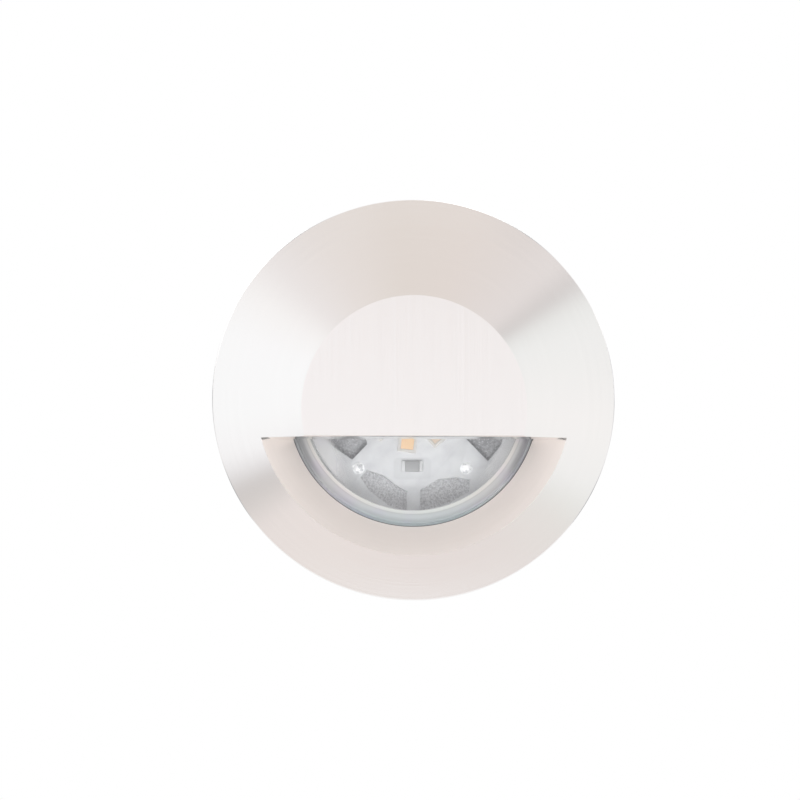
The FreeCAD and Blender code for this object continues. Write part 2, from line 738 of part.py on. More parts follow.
def make_housing():
    """Round can with a plain collar, ring shaped cooling fins and two flats for the clips."""
    body = turned("housing_body", [
        ("Layout.MouthRadius", "Layout.FlangeBack"),
        ("Layout.HousingRadius", "Layout.FlangeBack"),
        ("Layout.HousingRadius", "Sizes.CollarEnd"),
        ("Layout.FinRadius", "Sizes.CollarEnd"),
        ("Layout.FinRadius", "Sizes.HousingEnd"),
        ("Sizes.InnerRadius", "Sizes.HousingEnd"),
        ("Sizes.InnerRadius", "Layout.SpreaderBack"),
        ("Layout.SpreaderBore", "Layout.SpreaderBack"),
        ("Layout.SpreaderBore", "Layout.MouthEnd"),
        ("Layout.MouthRadius", "Layout.MouthEnd"),
    ])
    gap = new_sketch(body, "XY_Plane", "fin_gap")
    root = "Layout.FinRadius - Sizes.FinDepth"
    add_outline(gap, [
        (root, "Sizes.FinStart"),
        ("Layout.HousingRadius + 1", "Sizes.FinStart"),
        ("Layout.HousingRadius + 1", "Sizes.FinStart + Sizes.FinGroove"),
        (root, "Sizes.FinStart + Sizes.FinGroove"),
    ])
    doc.recompute()
    groove = body.newObject("PartDesign::Groove", "fin_groove")
    groove.Profile = gap
    groove.ReferenceAxis = (gap, ["V_Axis"])
    groove.Angle = 360
    doc.recompute()
    fins = body.newObject("PartDesign::LinearPattern", "fin_grooves")
    fins.Originals = [groove]
    fins.Direction = (origin_feature(body, "Y_Axis"), [""])
    fins.Mode = "Spacing"
    bind(fins, Offset="Sizes.FinPitch", Occurrences="Sizes.FinCount")
    body.Tip = fins
    doc.recompute()
    flats = new_sketch(body, "XY_Plane", "clip_flats")
    outside = "Layout.HousingRadius + 2"
    for side in ("", "-"):
        add_outline(flats, [
            (f"{side}Layout.FlatDistance", "Sizes.FlatStart"),
            (f"{side}({outside})", "Sizes.FlatStart"),
            (f"{side}({outside})", "Sizes.HousingEnd + 1"),
            (f"{side}Layout.FlatDistance", "Sizes.HousingEnd + 1"),
        ])
    doc.recompute()
    pocket(body, "clip_flat_cut", flats, "2 * Sizes.FlatHalfWidth")
    # threaded holes: four in the rear face, two in each flat
    tools = [rod(f"cap_hole_{i}", x, "Sizes.HousingEnd - Sizes.ScrewBite - Sizes.HoleSpare", z,
                 "Sizes.ScrewRadius + Sizes.ScrewSlack", "Sizes.ScrewBite + Sizes.HoleSpare + 1")
             for i, (x, z) in enumerate(cap_screw_places())]
    for name, angle in SIDES:
        for i, z in enumerate(clip_screw_levels()):
            hole = rod(f"{name}_clip_hole_{i}",
                       "Layout.FlatDistance - Sizes.ClipScrewBite - Sizes.ClipHoleSpare",
                       "Sizes.ClipScrewY", z, "Sizes.ClipScrewRadius + Sizes.PinSlack",
                       "Sizes.ClipScrewBite + Sizes.ClipHoleSpare + 1", AXIS_X)
            tools.append(on_side(f"{name}_clip_hole_{i}_placed", hole, angle))
    keep(cut("housing_drilled", body, fuse("housing_holes", *tools)), "housing")


def make_driver():
    """Round driver board on three spacers, with its parts on the rear side."""
    body = ring("driver_body", "0", "Layout.DriverRadius", "Layout.DriverFront", "Layout.DriverBack")
    holes_along_y(body, "driver_screw_holes", standoff_places(), "Sizes.ScrewRadius + Sizes.ScrewSlack")
    keep(body, "driver_board")
    spacers = []
    for i, (x, z) in enumerate(standoff_places()):
        post = rod(f"spacer_post_{i}", x, "Layout.SpreaderBack", z, "Sizes.StandoffRadius",
                   "Sizes.StandoffLength")
        bore = rod(f"spacer_bore_{i}", x, "Layout.SpreaderBack - 1", z,
                   "Sizes.ScrewRadius + Sizes.ScrewSlack", "Sizes.StandoffLength + 2")
        spacers.append(cut(f"spacer_{i}", post, bore))
    keep(group("spacers", spacers), "driver_standoffs")
    back = "Layout.DriverBack"
    keep(rod("capacitor_can", "-Sizes.CapacitorX", back, "Layout.CapacitorRise", "Sizes.CapacitorRadius",
             "Sizes.CapacitorLength"), "driver_capacitor")
    keep(make_inductor(), "driver_inductor")
    keep(box("bridge_block", "-Sizes.CapacitorX", back, "Layout.ChipLow", "Sizes.BridgeLength",
             "Sizes.BridgeHeight", "Sizes.ChipWidth"), "driver_bridge")
    keep(box("chip_block", "Sizes.CapacitorX - Sizes.ChipLength", back, "Layout.ChipLow",
             "Sizes.ChipLength", "Sizes.ChipHeight", "Sizes.ChipWidth"), "driver_chip")
    keep(make_terminal(), "driver_terminal")


def make_inductor():
    """Drum core: two flanges with the waist between them."""
    back = "Layout.DriverBack"
    flange = "Sizes.InductorFlange"
    x, z = "Sizes.CapacitorX", "Layout.CapacitorRise"
    waist = rod("inductor_waist", x, back, z, "Sizes.InductorWaist", "Sizes.InductorLength")
    low = rod("inductor_low", x, back, z, "Sizes.InductorRadius", flange)
    high = rod("inductor_high", x, f"{back} + Sizes.InductorLength - {flange}", z,
               "Sizes.InductorRadius", flange)
    return fuse("inductor_core", waist, low, high)


def make_terminal():
    """Two way screw terminal for the cores of the supply cable."""
    low = "-Layout.StandoffCircle"
    block = box("terminal_block", "-Sizes.TerminalLength / 2", "Layout.DriverBack", low,
                "Sizes.TerminalLength", "Sizes.TerminalHeight", "Sizes.TerminalWidth")
    ways = []
    for name, side in (("left", "-"), ("right", "")):
        ways.append(rod(f"terminal_way_{name}", f"{side}Sizes.TerminalLength / 4",
                        "Layout.DriverBack + Sizes.TerminalHeight / 2", f"{low} + Sizes.TerminalWidth / 2",
                        "Sizes.TerminalWay", "Sizes.TerminalHeight"))
    return cut("terminal", block, fuse("terminal_ways", *ways))


# ---------------------------------------------------------------- rear cap and gland


def make_rear_cap():
    """Cap with a plug that goes into the housing, a boss for the gland and four sunk screws."""
    body = turned("cap_body", [
        ("Sizes.GlandThread + Sizes.ScrewSlack", "Layout.RecessBack"),
        ("Layout.CapPlugRadius - Sizes.CapPlugWall", "Layout.RecessBack"),
        ("Layout.CapPlugRadius - Sizes.CapPlugWall", "Layout.PlugFront"),
        ("Layout.CapPlugRadius", "Layout.PlugFront"),
        ("Layout.CapPlugRadius", "Layout.CapSealFront"),
        ("Layout.CapSealGroove", "Layout.CapSealFront"),
        ("Layout.CapSealGroove", "Layout.CapSealFront + Sizes.CapSealSpace"),
        ("Layout.CapPlugRadius", "Layout.CapSealFront + Sizes.CapSealSpace"),
        ("Layout.CapPlugRadius", "Sizes.HousingEnd"),
        ("Layout.FinRadius", "Sizes.HousingEnd"),
        ("Layout.FinRadius", "Layout.CapBack"),
        ("Sizes.BossRadius", "Layout.CapBack"),
        ("Sizes.BossRadius", "Layout.BossBack"),
        ("Sizes.GlandThread + Sizes.ScrewSlack", "Layout.BossBack"),
    ])
    round_circles(body, "cap_round", "Sizes.CapRound", [("Layout.FinRadius", "Layout.CapBack")])
    tools = []
    for i, (x, z) in enumerate(cap_screw_places()):
        tools.append(rod(f"cap_clearance_{i}", x, "Sizes.HousingEnd - 1", z,
                         "Sizes.ScrewRadius + Sizes.ScrewSlack", "Sizes.CapThickness + 2"))
        tools.append(rod(f"cap_sink_{i}", x, "Layout.CapScrewSeat", z,
                         "Sizes.ScrewHeadRadius + 2 * Sizes.ScrewSlack", "Sizes.CapScrewSink + 1"))
    keep(cut("cap_drilled", body, fuse("cap_holes", *tools)), "rear_cap")
    wire = doc.addObject("Part::Torus", "cap_ring")
    bind(wire, Radius1="(Layout.CapSealGroove + Sizes.InnerRadius) / 2", Radius2="Sizes.CapSealWire / 2")
    place(wire, y="Layout.CapSealFront + Sizes.CapSealSpace / 2", turn=AXIS_Y)
    keep(wire, "rear_cap_seal")


def make_gland():
    """Cable gland through the rear cap. Its seal has the bore for the supply cable."""
    core = turned("gland_core", [
        ("Sizes.GlandPassage", "Layout.GlandFront"),
        ("Sizes.GlandThread", "Layout.GlandFront"),
        ("Sizes.GlandThread", "Layout.GlandNeckEnd"),
        ("Sizes.GlandPocket", "Layout.GlandNeckEnd"),
        ("Sizes.GlandPocket", "Layout.PocketFront"),
        ("Sizes.GlandPassage", "Layout.PocketFront"),
    ])
    collar = cut("gland_collar",
                 hexagon("gland_hex", "0", "Layout.GlandHexFront", "0", "Sizes.GlandHexFlats",
                         "Sizes.GlandHexHeight"),
                 rod("gland_hex_bore", "0", "Layout.GlandHexFront - 1", "0",
                     "(Sizes.GlandThread + Sizes.GlandPocket) / 2", "Sizes.GlandHexHeight + 2"))
    keep(fuse("gland_fused", core, collar), "gland_body")
    keep(ring("washer", "Sizes.GlandThread + Sizes.ScrewSlack", "Sizes.WasherRadius", "Layout.BossBack",
              "Layout.GlandHexFront"), "gland_washer")
    keep(ring("cable_seal", "Sizes.CableRadius", "Sizes.SealRadius", "Layout.PocketFront",
              "Layout.SealEnd"), "gland_seal")
    bore = "Sizes.GlandThread + Sizes.ScrewSlack"
    grip_radius = "Sizes.NutFlats / 2 - Sizes.NutRelief"
    dome = turned("nut_dome", [
        (bore, "Layout.NutFront"),
        (grip_radius, "Layout.NutFront"),
        (grip_radius, "Layout.NutShoulder"),
        ("Sizes.NutFlats / 2 - Sizes.NutDomeDrop", "Layout.NutShoulder + Sizes.NutDomeBend"),
        ("Sizes.NutMouthRadius + Sizes.NutMouthWall", "Layout.NutEnd"),
        ("Sizes.NutMouthRadius", "Layout.NutEnd"),
        ("Sizes.NutMouthRadius", "Layout.SealEnd + Sizes.NutRelief"),
        ("Sizes.SealRadius + Sizes.ScrewSlack", "Layout.SealEnd + Sizes.NutRelief"),
        ("Sizes.SealRadius + Sizes.ScrewSlack", "Layout.GlandNeckEnd + Sizes.NutRelief"),
        (bore, "Layout.GlandNeckEnd + Sizes.NutRelief"),
    ])
    grip = cut("nut_grip",
               hexagon("nut_hex", "0", "Layout.NutFront", "0", "Sizes.NutFlats", "Sizes.NutHexHeight"),
               rod("nut_hex_bore", "0", "Layout.NutFront - 1", "0",
                   "(Sizes.GlandThread + Sizes.NutFlats / 2) / 2", "Sizes.NutHexHeight + 2"))
    keep(fuse("nut_fused", dome, grip), "gland_nut")
    nut = cut("locknut",
              hexagon("locknut_hex", "0", "Layout.LocknutFront", "0", "Sizes.GlandHexFlats",
                      "Sizes.LocknutHeight"),
              rod("locknut_bore", "0", "Layout.LocknutFront - 1", "0",
                  "Sizes.GlandThread + Sizes.ScrewSlack", "Sizes.LocknutHeight + 2"))
    keep(nut, "gland_locknut")


# ---------------------------------------------------------------- sprung retaining clips


def on_side(name, thing, angle):
    """A clip piece is made on the right side; the left one is the same, half a turn round the axis."""
    placed = group(name, [thing])
    placed.Placement = FreeCAD.Placement(FreeCAD.Vector(), FreeCAD.Rotation(FreeCAD.Vector(0, 1, 0), angle))
    return placed


def clip_screw_levels():
    return ("-Sizes.ClipScrewZ", "Sizes.ClipScrewZ")


def make_bracket(side):
    """U shaped bracket: a base on the flat and two ears that hold the pin."""
    width = "2 * Sizes.BracketHalfWidth"
    base = box(f"{side}_base", "Layout.FlatDistance", "Layout.BracketRear - Sizes.BracketLength",
               "-Sizes.BracketHalfWidth", "Sizes.BracketThickness", "Sizes.BracketLength", width)
    ears = []
    for name, low in (("low", "-Sizes.BracketHalfWidth"), ("high", "Layout.EarInner")):
        ear = box(f"{side}_ear_{name}_block", "Layout.FlatDistance",
                  "Layout.BracketRear - Sizes.EarLength", low,
                  "Sizes.EarRise", "Sizes.EarLength", "Sizes.BracketThickness")
        ears.append(rounded_ear(f"{side}_ear_{name}", ear))
    holes = [rod(f"{side}_pin_hole", "Layout.PivotX", "Sizes.PivotY", "-Sizes.BracketHalfWidth - 1",
                 "Sizes.PinRadius + Sizes.PinSlack", f"{width} + 2", AXIS_Z)]
    for i, z in enumerate(clip_screw_levels()):
        holes.append(rod(f"{side}_base_hole_{i}", "Layout.FlatDistance - 1", "Sizes.ClipScrewY", z,
                         "Sizes.ClipScrewRadius + 2 * Sizes.PinSlack",
                         "Sizes.BracketThickness + 2", AXIS_X))
    return cut(f"{side}_bracket", fuse(f"{side}_bracket_solid", base, *ears),
               fuse(f"{side}_bracket_holes", *holes))


def rounded_ear(name, ear):
    """Rounds the two outer corners of an ear."""
    doc.recompute()
    top = value("Layout.FlatDistance + Sizes.EarRise")
    corners = []
    for number, edge in enumerate(ear.Shape.Edges, start=1):
        span = edge.BoundBox
        if span.XMin > top - SAME and span.YLength < SAME:
            corners.append(number)
    made = doc.addObject("Part::Fillet", name)
    made.Base = ear
    radius = value("Sizes.EarRound")
    made.Edges = [(number, radius, radius) for number in corners]
    return made


def make_pin(side):
    """Rivet through both ears and the arm's lugs, with a head outside each ear."""
    half = "Sizes.BracketHalfWidth"
    stem = rod(f"{side}_stem", "Layout.PivotX", "Sizes.PivotY", f"-{half}", "Sizes.PinRadius",
               f"2 * {half}", AXIS_Z)
    heads = [rod(f"{side}_head_{name}", "Layout.PivotX", "Sizes.PivotY", low, "Sizes.PinHeadRadius",
                 "Sizes.PinHeadHeight", AXIS_Z)
             for name, low in (("low", f"-{half} - Sizes.PinHeadHeight"), ("high", half))]
    return fuse(f"{side}_pin", stem, *heads)


def splayed(name, thing):
    """Turns a piece of the arm from along the housing to its rest, splayed outwards on the pin."""
    pivot = FreeCAD.Vector(value("Layout.PivotX"), value("Sizes.PivotY"), 0)
    turn = FreeCAD.Rotation(FreeCAD.Vector(0, 0, 1), value("Sizes.ArmSplayAngle"))
    placed = group(name, [thing])
    placed.Placement = FreeCAD.Placement(pivot - turn.multVec(pivot), turn)
    return placed


def arm_strip(name):
    return box(name, "Layout.PivotX + Sizes.ArmOffset", "Sizes.PivotY - Sizes.ArmLength",
               "-Sizes.ArmHalfWidth", "Sizes.ArmThickness", "Sizes.ArmLength + Sizes.ArmTail",
               "2 * Sizes.ArmHalfWidth")


def make_arm(side):
    """Spring steel arm: a flat strip with two lugs that turn on the pin."""
    pieces = [arm_strip(f"{side}_strip")]
    for name, low in (("low", "-Sizes.ArmHalfWidth"), ("high", "Sizes.ArmHalfWidth - Sizes.LugThickness")):
        pieces.append(rod(f"{side}_lug_{name}", "Layout.PivotX", "Sizes.PivotY", low, "Sizes.LugRadius",
                          "Sizes.LugThickness", AXIS_Z))
        pieces.append(box(f"{side}_lug_{name}_web", "Layout.PivotX", "Sizes.PivotY - Sizes.LugRadius", low,
                          "Sizes.ArmOffset", "2 * Sizes.LugRadius", "Sizes.LugThickness"))
    bore = rod(f"{side}_arm_bore", "Layout.PivotX", "Sizes.PivotY", "-Sizes.ArmHalfWidth - 1",
               "Sizes.PinRadius + Sizes.PinSlack", "2 * Sizes.ArmHalfWidth + 2", AXIS_Z)
    return splayed(f"{side}_arm_splayed", cut(f"{side}_arm", fuse(f"{side}_arm_solid", *pieces), bore))


def make_tip(side):
    """Moulded sleeve pushed over the end of the arm."""
    wall = "Sizes.TipWall"
    sleeve = box(f"{side}_sleeve", f"Layout.PivotX + Sizes.ArmOffset - {wall}",
                 f"Sizes.PivotY - Sizes.ArmLength - {wall}", f"-Sizes.ArmHalfWidth - {wall}",
                 f"Sizes.ArmThickness + 2 * {wall}", "Sizes.TipLength",
                 f"2 * Sizes.ArmHalfWidth + 2 * {wall}")
    return splayed(f"{side}_tip_splayed", cut(f"{side}_tip", sleeve, arm_strip(f"{side}_tip_slot")))


def make_clip_screws(side):
    """Two small screws that hold the bracket on its flat."""
    return group(f"{side}_screws", [
        screw(f"{side}_clip_screw_{i}", "Layout.BracketTop", "Sizes.ClipScrewY", z,
              "Sizes.BracketThickness + Sizes.ClipScrewBite", AGAINST_X,
              ("Sizes.ClipScrewHeadRadius", "Sizes.ClipScrewHeadHeight"), "Sizes.ClipScrewRadius")
        for i, z in enumerate(clip_screw_levels())])


def arc_middle(start, along, end):
    """The middle of the arc that leaves start in the direction along and ends at end."""
    chord = end - start
    forward = FreeCAD.Vector(chord).normalize()
    aside = (along - forward * along.dot(forward)).normalize()
    return (start + end) * 0.5 + aside * (chord.Length / 2 * math.tan(along.getAngle(chord) / 2))


def biarc(start, leave, end, arrive):
    """Two arcs that join start to end and meet smoothly between them."""
    chord = end - start
    spread = 2 * (1 - leave.dot(arrive))
    swing = chord.dot(leave + arrive)
    reach = (math.sqrt(swing ** 2 + spread * chord.dot(chord)) - swing) / spread
    middle = (start + end + (leave - arrive) * reach) * 0.5
    first = Part.Arc(start, arc_middle(start, leave, middle), middle)
    second = Part.Arc(middle, arc_middle(end, arrive * -1.0, middle), end)
    return [first.toShape(), second.toShape()]


def spring_route():
    """Points and directions along the turns of the spring round its pin; both ends leave level."""
    radius = value("Sizes.SpringRadius")
    pitch = value("Layout.SpringPitch")
    first = math.radians(value("Sizes.ArmSplayAngle"))
    last = math.pi + 2 * math.pi * value("Sizes.SpringTurns")
    steps = math.ceil((last - first) / (math.pi / 2))
    centre = FreeCAD.Vector(value("Layout.PivotX"), value("Sizes.PivotY"), 0)
    middle_turn = (first + last) / 2
    route = []
    for i in range(steps + 1):
        angle = first + (last - first) * i / steps
        rise = pitch * (angle - middle_turn) / (2 * math.pi)
        spot = centre + FreeCAD.Vector(radius * math.cos(angle), radius * math.sin(angle), rise)
        climb = 0 if i in (0, steps) else pitch / (2 * math.pi)
        way = FreeCAD.Vector(-math.sin(angle) * radius, math.cos(angle) * radius, climb)
        route.append((spot, way.normalize()))
    return route


def least_gap(wire, diameter):
    """The least gap between stretches of the wire that are over two diameters apart along it."""
    steps_each = 4
    spots = wire.discretize(Distance=diameter / steps_each)
    apart = 2 * steps_each
    nearest = min(spots[i].distanceToPoint(spots[j])
                  for i in range(len(spots)) for j in range(i + apart, len(spots)))
    return nearest - diameter


def make_spring(side):
    """Torsion spring of round wire, as one unbroken tube swept along arcs."""
    wire_size = value("Sizes.SpringWire")
    route = spring_route()
    start, leave = route[0]
    end, arrive = route[-1]
    free_end = start - leave * value("Sizes.SpringLegArm")
    fixed_end = end + arrive * value("Sizes.SpringLegFixed")
    edges = [Part.LineSegment(free_end, start).toShape()]
    for (a, a_way), (b, b_way) in zip(route, route[1:]):
        edges += biarc(a, a_way, b, b_way)
    edges.append(Part.LineSegment(end, fixed_end).toShape())
    path = Part.Wire(edges)
    section = Part.Wire(Part.Circle(free_end, leave, wire_size / 2).toShape())
    shell = Part.BRepOffsetAPI.MakePipeShell(path)
    shell.add(section)
    shell.build()
    shell.makeSolid()
    made = doc.addObject("Part::Feature", f"{side}_spring")
    made.Shape = shell.shape()
    print(f"{side} spring: volume {made.Shape.Volume:.3f}, section times length "
          f"{math.pi * wire_size ** 2 / 4 * path.Length:.3f}, least gap {least_gap(path, wire_size):.2f}")
    return made


def make_clips():
    for side, angle in SIDES:
        keep(on_side(f"{side}_bracket_placed", make_bracket(side), angle), f"{side}_clip_bracket")
        keep(on_side(f"{side}_pin_placed", make_pin(side), angle), f"{side}_clip_pin")
        keep(on_side(f"{side}_spring_placed", make_spring(side), angle), f"{side}_clip_spring")
        keep(on_side(f"{side}_arm_placed", make_arm(side), angle), f"{side}_clip_arm")
        keep(on_side(f"{side}_tip_placed", make_tip(side), angle), f"{side}_clip_tip")
        keep(on_side(f"{side}_screws_placed", make_clip_screws(side), angle), f"{side}_clip_screws")


# ---------------------------------------------------------------- build, test and write


def check_document():
    """Stops if any feature failed or any sub-part is empty or not valid."""
    for thing in doc.Objects:
        if "Invalid" in thing.State or "Error" in thing.State:
            raise RuntimeError(f"{thing.Label} failed: {thing.State}")
    for thing in parts:
        if thing.Shape.isNull() or not thing.Shape.isValid() or not thing.Shape.Solids:
            raise RuntimeError(f"{thing.Label} has no valid solid")


def main():
    make_face_plate()
    make_gasket_and_seals()
    make_lens()
    make_led_board()
    make_leds()
    make_resistors()
    make_solder_joints()
    make_heat_spreader()
    make_housing()
    make_driver()
    make_rear_cap()
    make_gland()
    make_screws()
    make_clips()
    doc.recompute()
    check_document()
    os.makedirs("parts", exist_ok=True)
    for thing in parts:
        thing.Shape.exportStep(f"parts/{thing.Label}.step")
    print(f"{len(parts)} sub-parts written")


main()
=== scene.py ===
import math

import bmesh
import bpy
from mathutils import Matrix, Vector, noise


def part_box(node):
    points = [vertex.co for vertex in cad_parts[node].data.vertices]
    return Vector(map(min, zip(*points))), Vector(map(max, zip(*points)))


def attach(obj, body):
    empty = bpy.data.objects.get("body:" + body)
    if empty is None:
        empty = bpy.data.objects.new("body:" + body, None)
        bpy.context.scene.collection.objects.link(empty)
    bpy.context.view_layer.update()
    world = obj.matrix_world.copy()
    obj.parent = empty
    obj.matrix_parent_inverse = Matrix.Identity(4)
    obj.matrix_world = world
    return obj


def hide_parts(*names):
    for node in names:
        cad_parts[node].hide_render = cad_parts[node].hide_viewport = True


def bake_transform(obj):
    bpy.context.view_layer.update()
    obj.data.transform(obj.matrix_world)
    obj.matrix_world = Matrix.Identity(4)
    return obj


# A recessed step light: brushed face with a hood over a half moon window, lens and light source behind it,
# finned housing, cable gland and two sprung clips. Lengths in this file are millimetres on the light's
# axes: the face looks along -Y, +Z is up and the origin is at the wall. Meshes are made in metres.

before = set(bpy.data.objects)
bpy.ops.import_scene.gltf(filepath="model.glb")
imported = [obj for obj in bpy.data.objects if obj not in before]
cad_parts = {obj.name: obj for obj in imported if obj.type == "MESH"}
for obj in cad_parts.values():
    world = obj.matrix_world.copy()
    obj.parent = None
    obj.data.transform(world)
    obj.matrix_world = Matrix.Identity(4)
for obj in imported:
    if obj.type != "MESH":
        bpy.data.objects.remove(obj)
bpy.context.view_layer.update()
MM = 0.001

# face plate
RIM_FRONT = -2.0
FLANGE_BACK = -0.8
RIM_ROUND = 0.25
FLANGE_ROUND = 0.1
CONE_ANGLE = math.radians(17.66)
LAND_FRONT = -6.27
LAND_TILT = math.radians(2.0)
HOOD_EDGE = -6.0
HOOD_BACK = -1.9
HOOD_ROUND = 0.2
HOOD_BEND = 0.3  # where the rounding's middle point lies, as a share of it
SCOOP_ANGLE = math.radians(36.8)
APERTURE = 18.85
LIP_FRONT = 2.05
LIP_BACK = 2.5
SEAT_RADIUS = 20.7
SPIGOT_RADIUS = 23.2
SPIGOT_END = 8.0
GROOVE_FRONT = 3.6
GROOVE_BACK = 5.1
GROOVE_RADIUS = 21.85
FACE_SEGMENTS = 480
FACE_COLOUR = (0.93, 0.915, 0.905)
LAND_COLOUR = (0.972, 0.946, 0.945)
# the scoop's warm beige tint is painted light: it stands in for the warm light the scoop gets from its
# surroundings
SCOOP_COLOUR = (0.99, 0.925, 0.885)
# lens and ring
LENS_FRONT_RADIUS = 18.4
LENS_SHOULDER = 1.2
LENS_FLANGE = 2.0
LENS_EDGE_ROUND = 0.15
RING_COVE = 1.7
RING_LIP = 0.4
RING_ROUND = 0.1
RING_LIP_ROUND = 0.08
LENS_SEGMENTS = 320
# solder joints: (x, rise, radius, seed) of a large and a small dome on each side
SOLDER_DOMES = {
    "left": [(-8.12, 0.0, 0.95, 3.0), (-8.92, 0.32, 0.24, 5.0)],
    "right": [(8.2, 0.0, 0.95, 8.0), (8.12, 0.62, 0.36, 2.0)],
}
SOLDER_HEIGHT_SHARE = 0.7
SOLDER_FOOT_SHARE = 0.03
# inductor's winding, between two stations along Y
WINDING_RADIUS = 3.65
WINDING_FIRST = 27.15
WINDING_LAST = 29.05
WINDING_TURNS = 6
WINDING_WIRE = 0.16
# clips
ARM_SPLAY = math.radians(12.0)
PIVOT_Y = 35.0
SPRING_RADIUS = 1.35
SPRING_WIRE = 0.6
SPRING_TURNS = 4.0
SPRING_LEG_FIXED = 3.2
SPRING_LEG_ARM = 6.0
TIP_THICK = 1.4
TIP_LONG = 4.4
TIP_ROUND = 0.35
TIP_RIB = 0.25
RIB_COUNT = 5
RIB_MARGIN = 0.75
RIB_END = 0.6
RIB_SINK = 0.05
RIB_SPARE = 0.02
# copies of nodes with eased corners
MERGE_GAP = 0.002
FLAT_ANGLE = math.radians(0.6)


def low(node):
    """The low corner of a node's box, in millimetres."""
    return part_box(node)[0] / MM


def high(node):
    """The high corner of a node's box, in millimetres."""
    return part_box(node)[1] / MM


FACE_RADIUS = high("face_plate").x


# ---------------------------------------------------------------- shader recipes


class Num:
    """A number, colour or vector that flows through a material. The operators add Math nodes."""

    def __init__(self, recipe, socket):
        self.recipe = recipe
        self.socket = socket

    def _math(self, operation, first, second):
        return self.recipe.node("ShaderNodeMath", {"operation": operation}, {0: first, 1: second})

    def __add__(self, other):
        return self._math("ADD", self, other)

    def __radd__(self, other):
        return self._math("ADD", other, self)

    def __sub__(self, other):
        return self._math("SUBTRACT", self, other)

    def __rsub__(self, other):
        return self._math("SUBTRACT", other, self)

    def __mul__(self, other):
        return self._math("MULTIPLY", self, other)

    def __rmul__(self, other):
        return self._math("MULTIPLY", other, self)

    def __truediv__(self, other):
        return self._math("DIVIDE", self, other)

    def __rtruediv__(self, other):
        return self._math("DIVIDE", other, self)

    def __neg__(self):
        return self._math("MULTIPLY", self, -1.0)

    def sine(self):
        return self._math("SINE", self, 0.0)

    def size(self):
        return self._math("ABSOLUTE", self, 0.0)

    def root(self):
        return self._math("SQRT", self, 0.0)

    def capped(self, low_end, high_end):
        return self._math("MINIMUM", self._math("MAXIMUM", self, low_end), high_end)


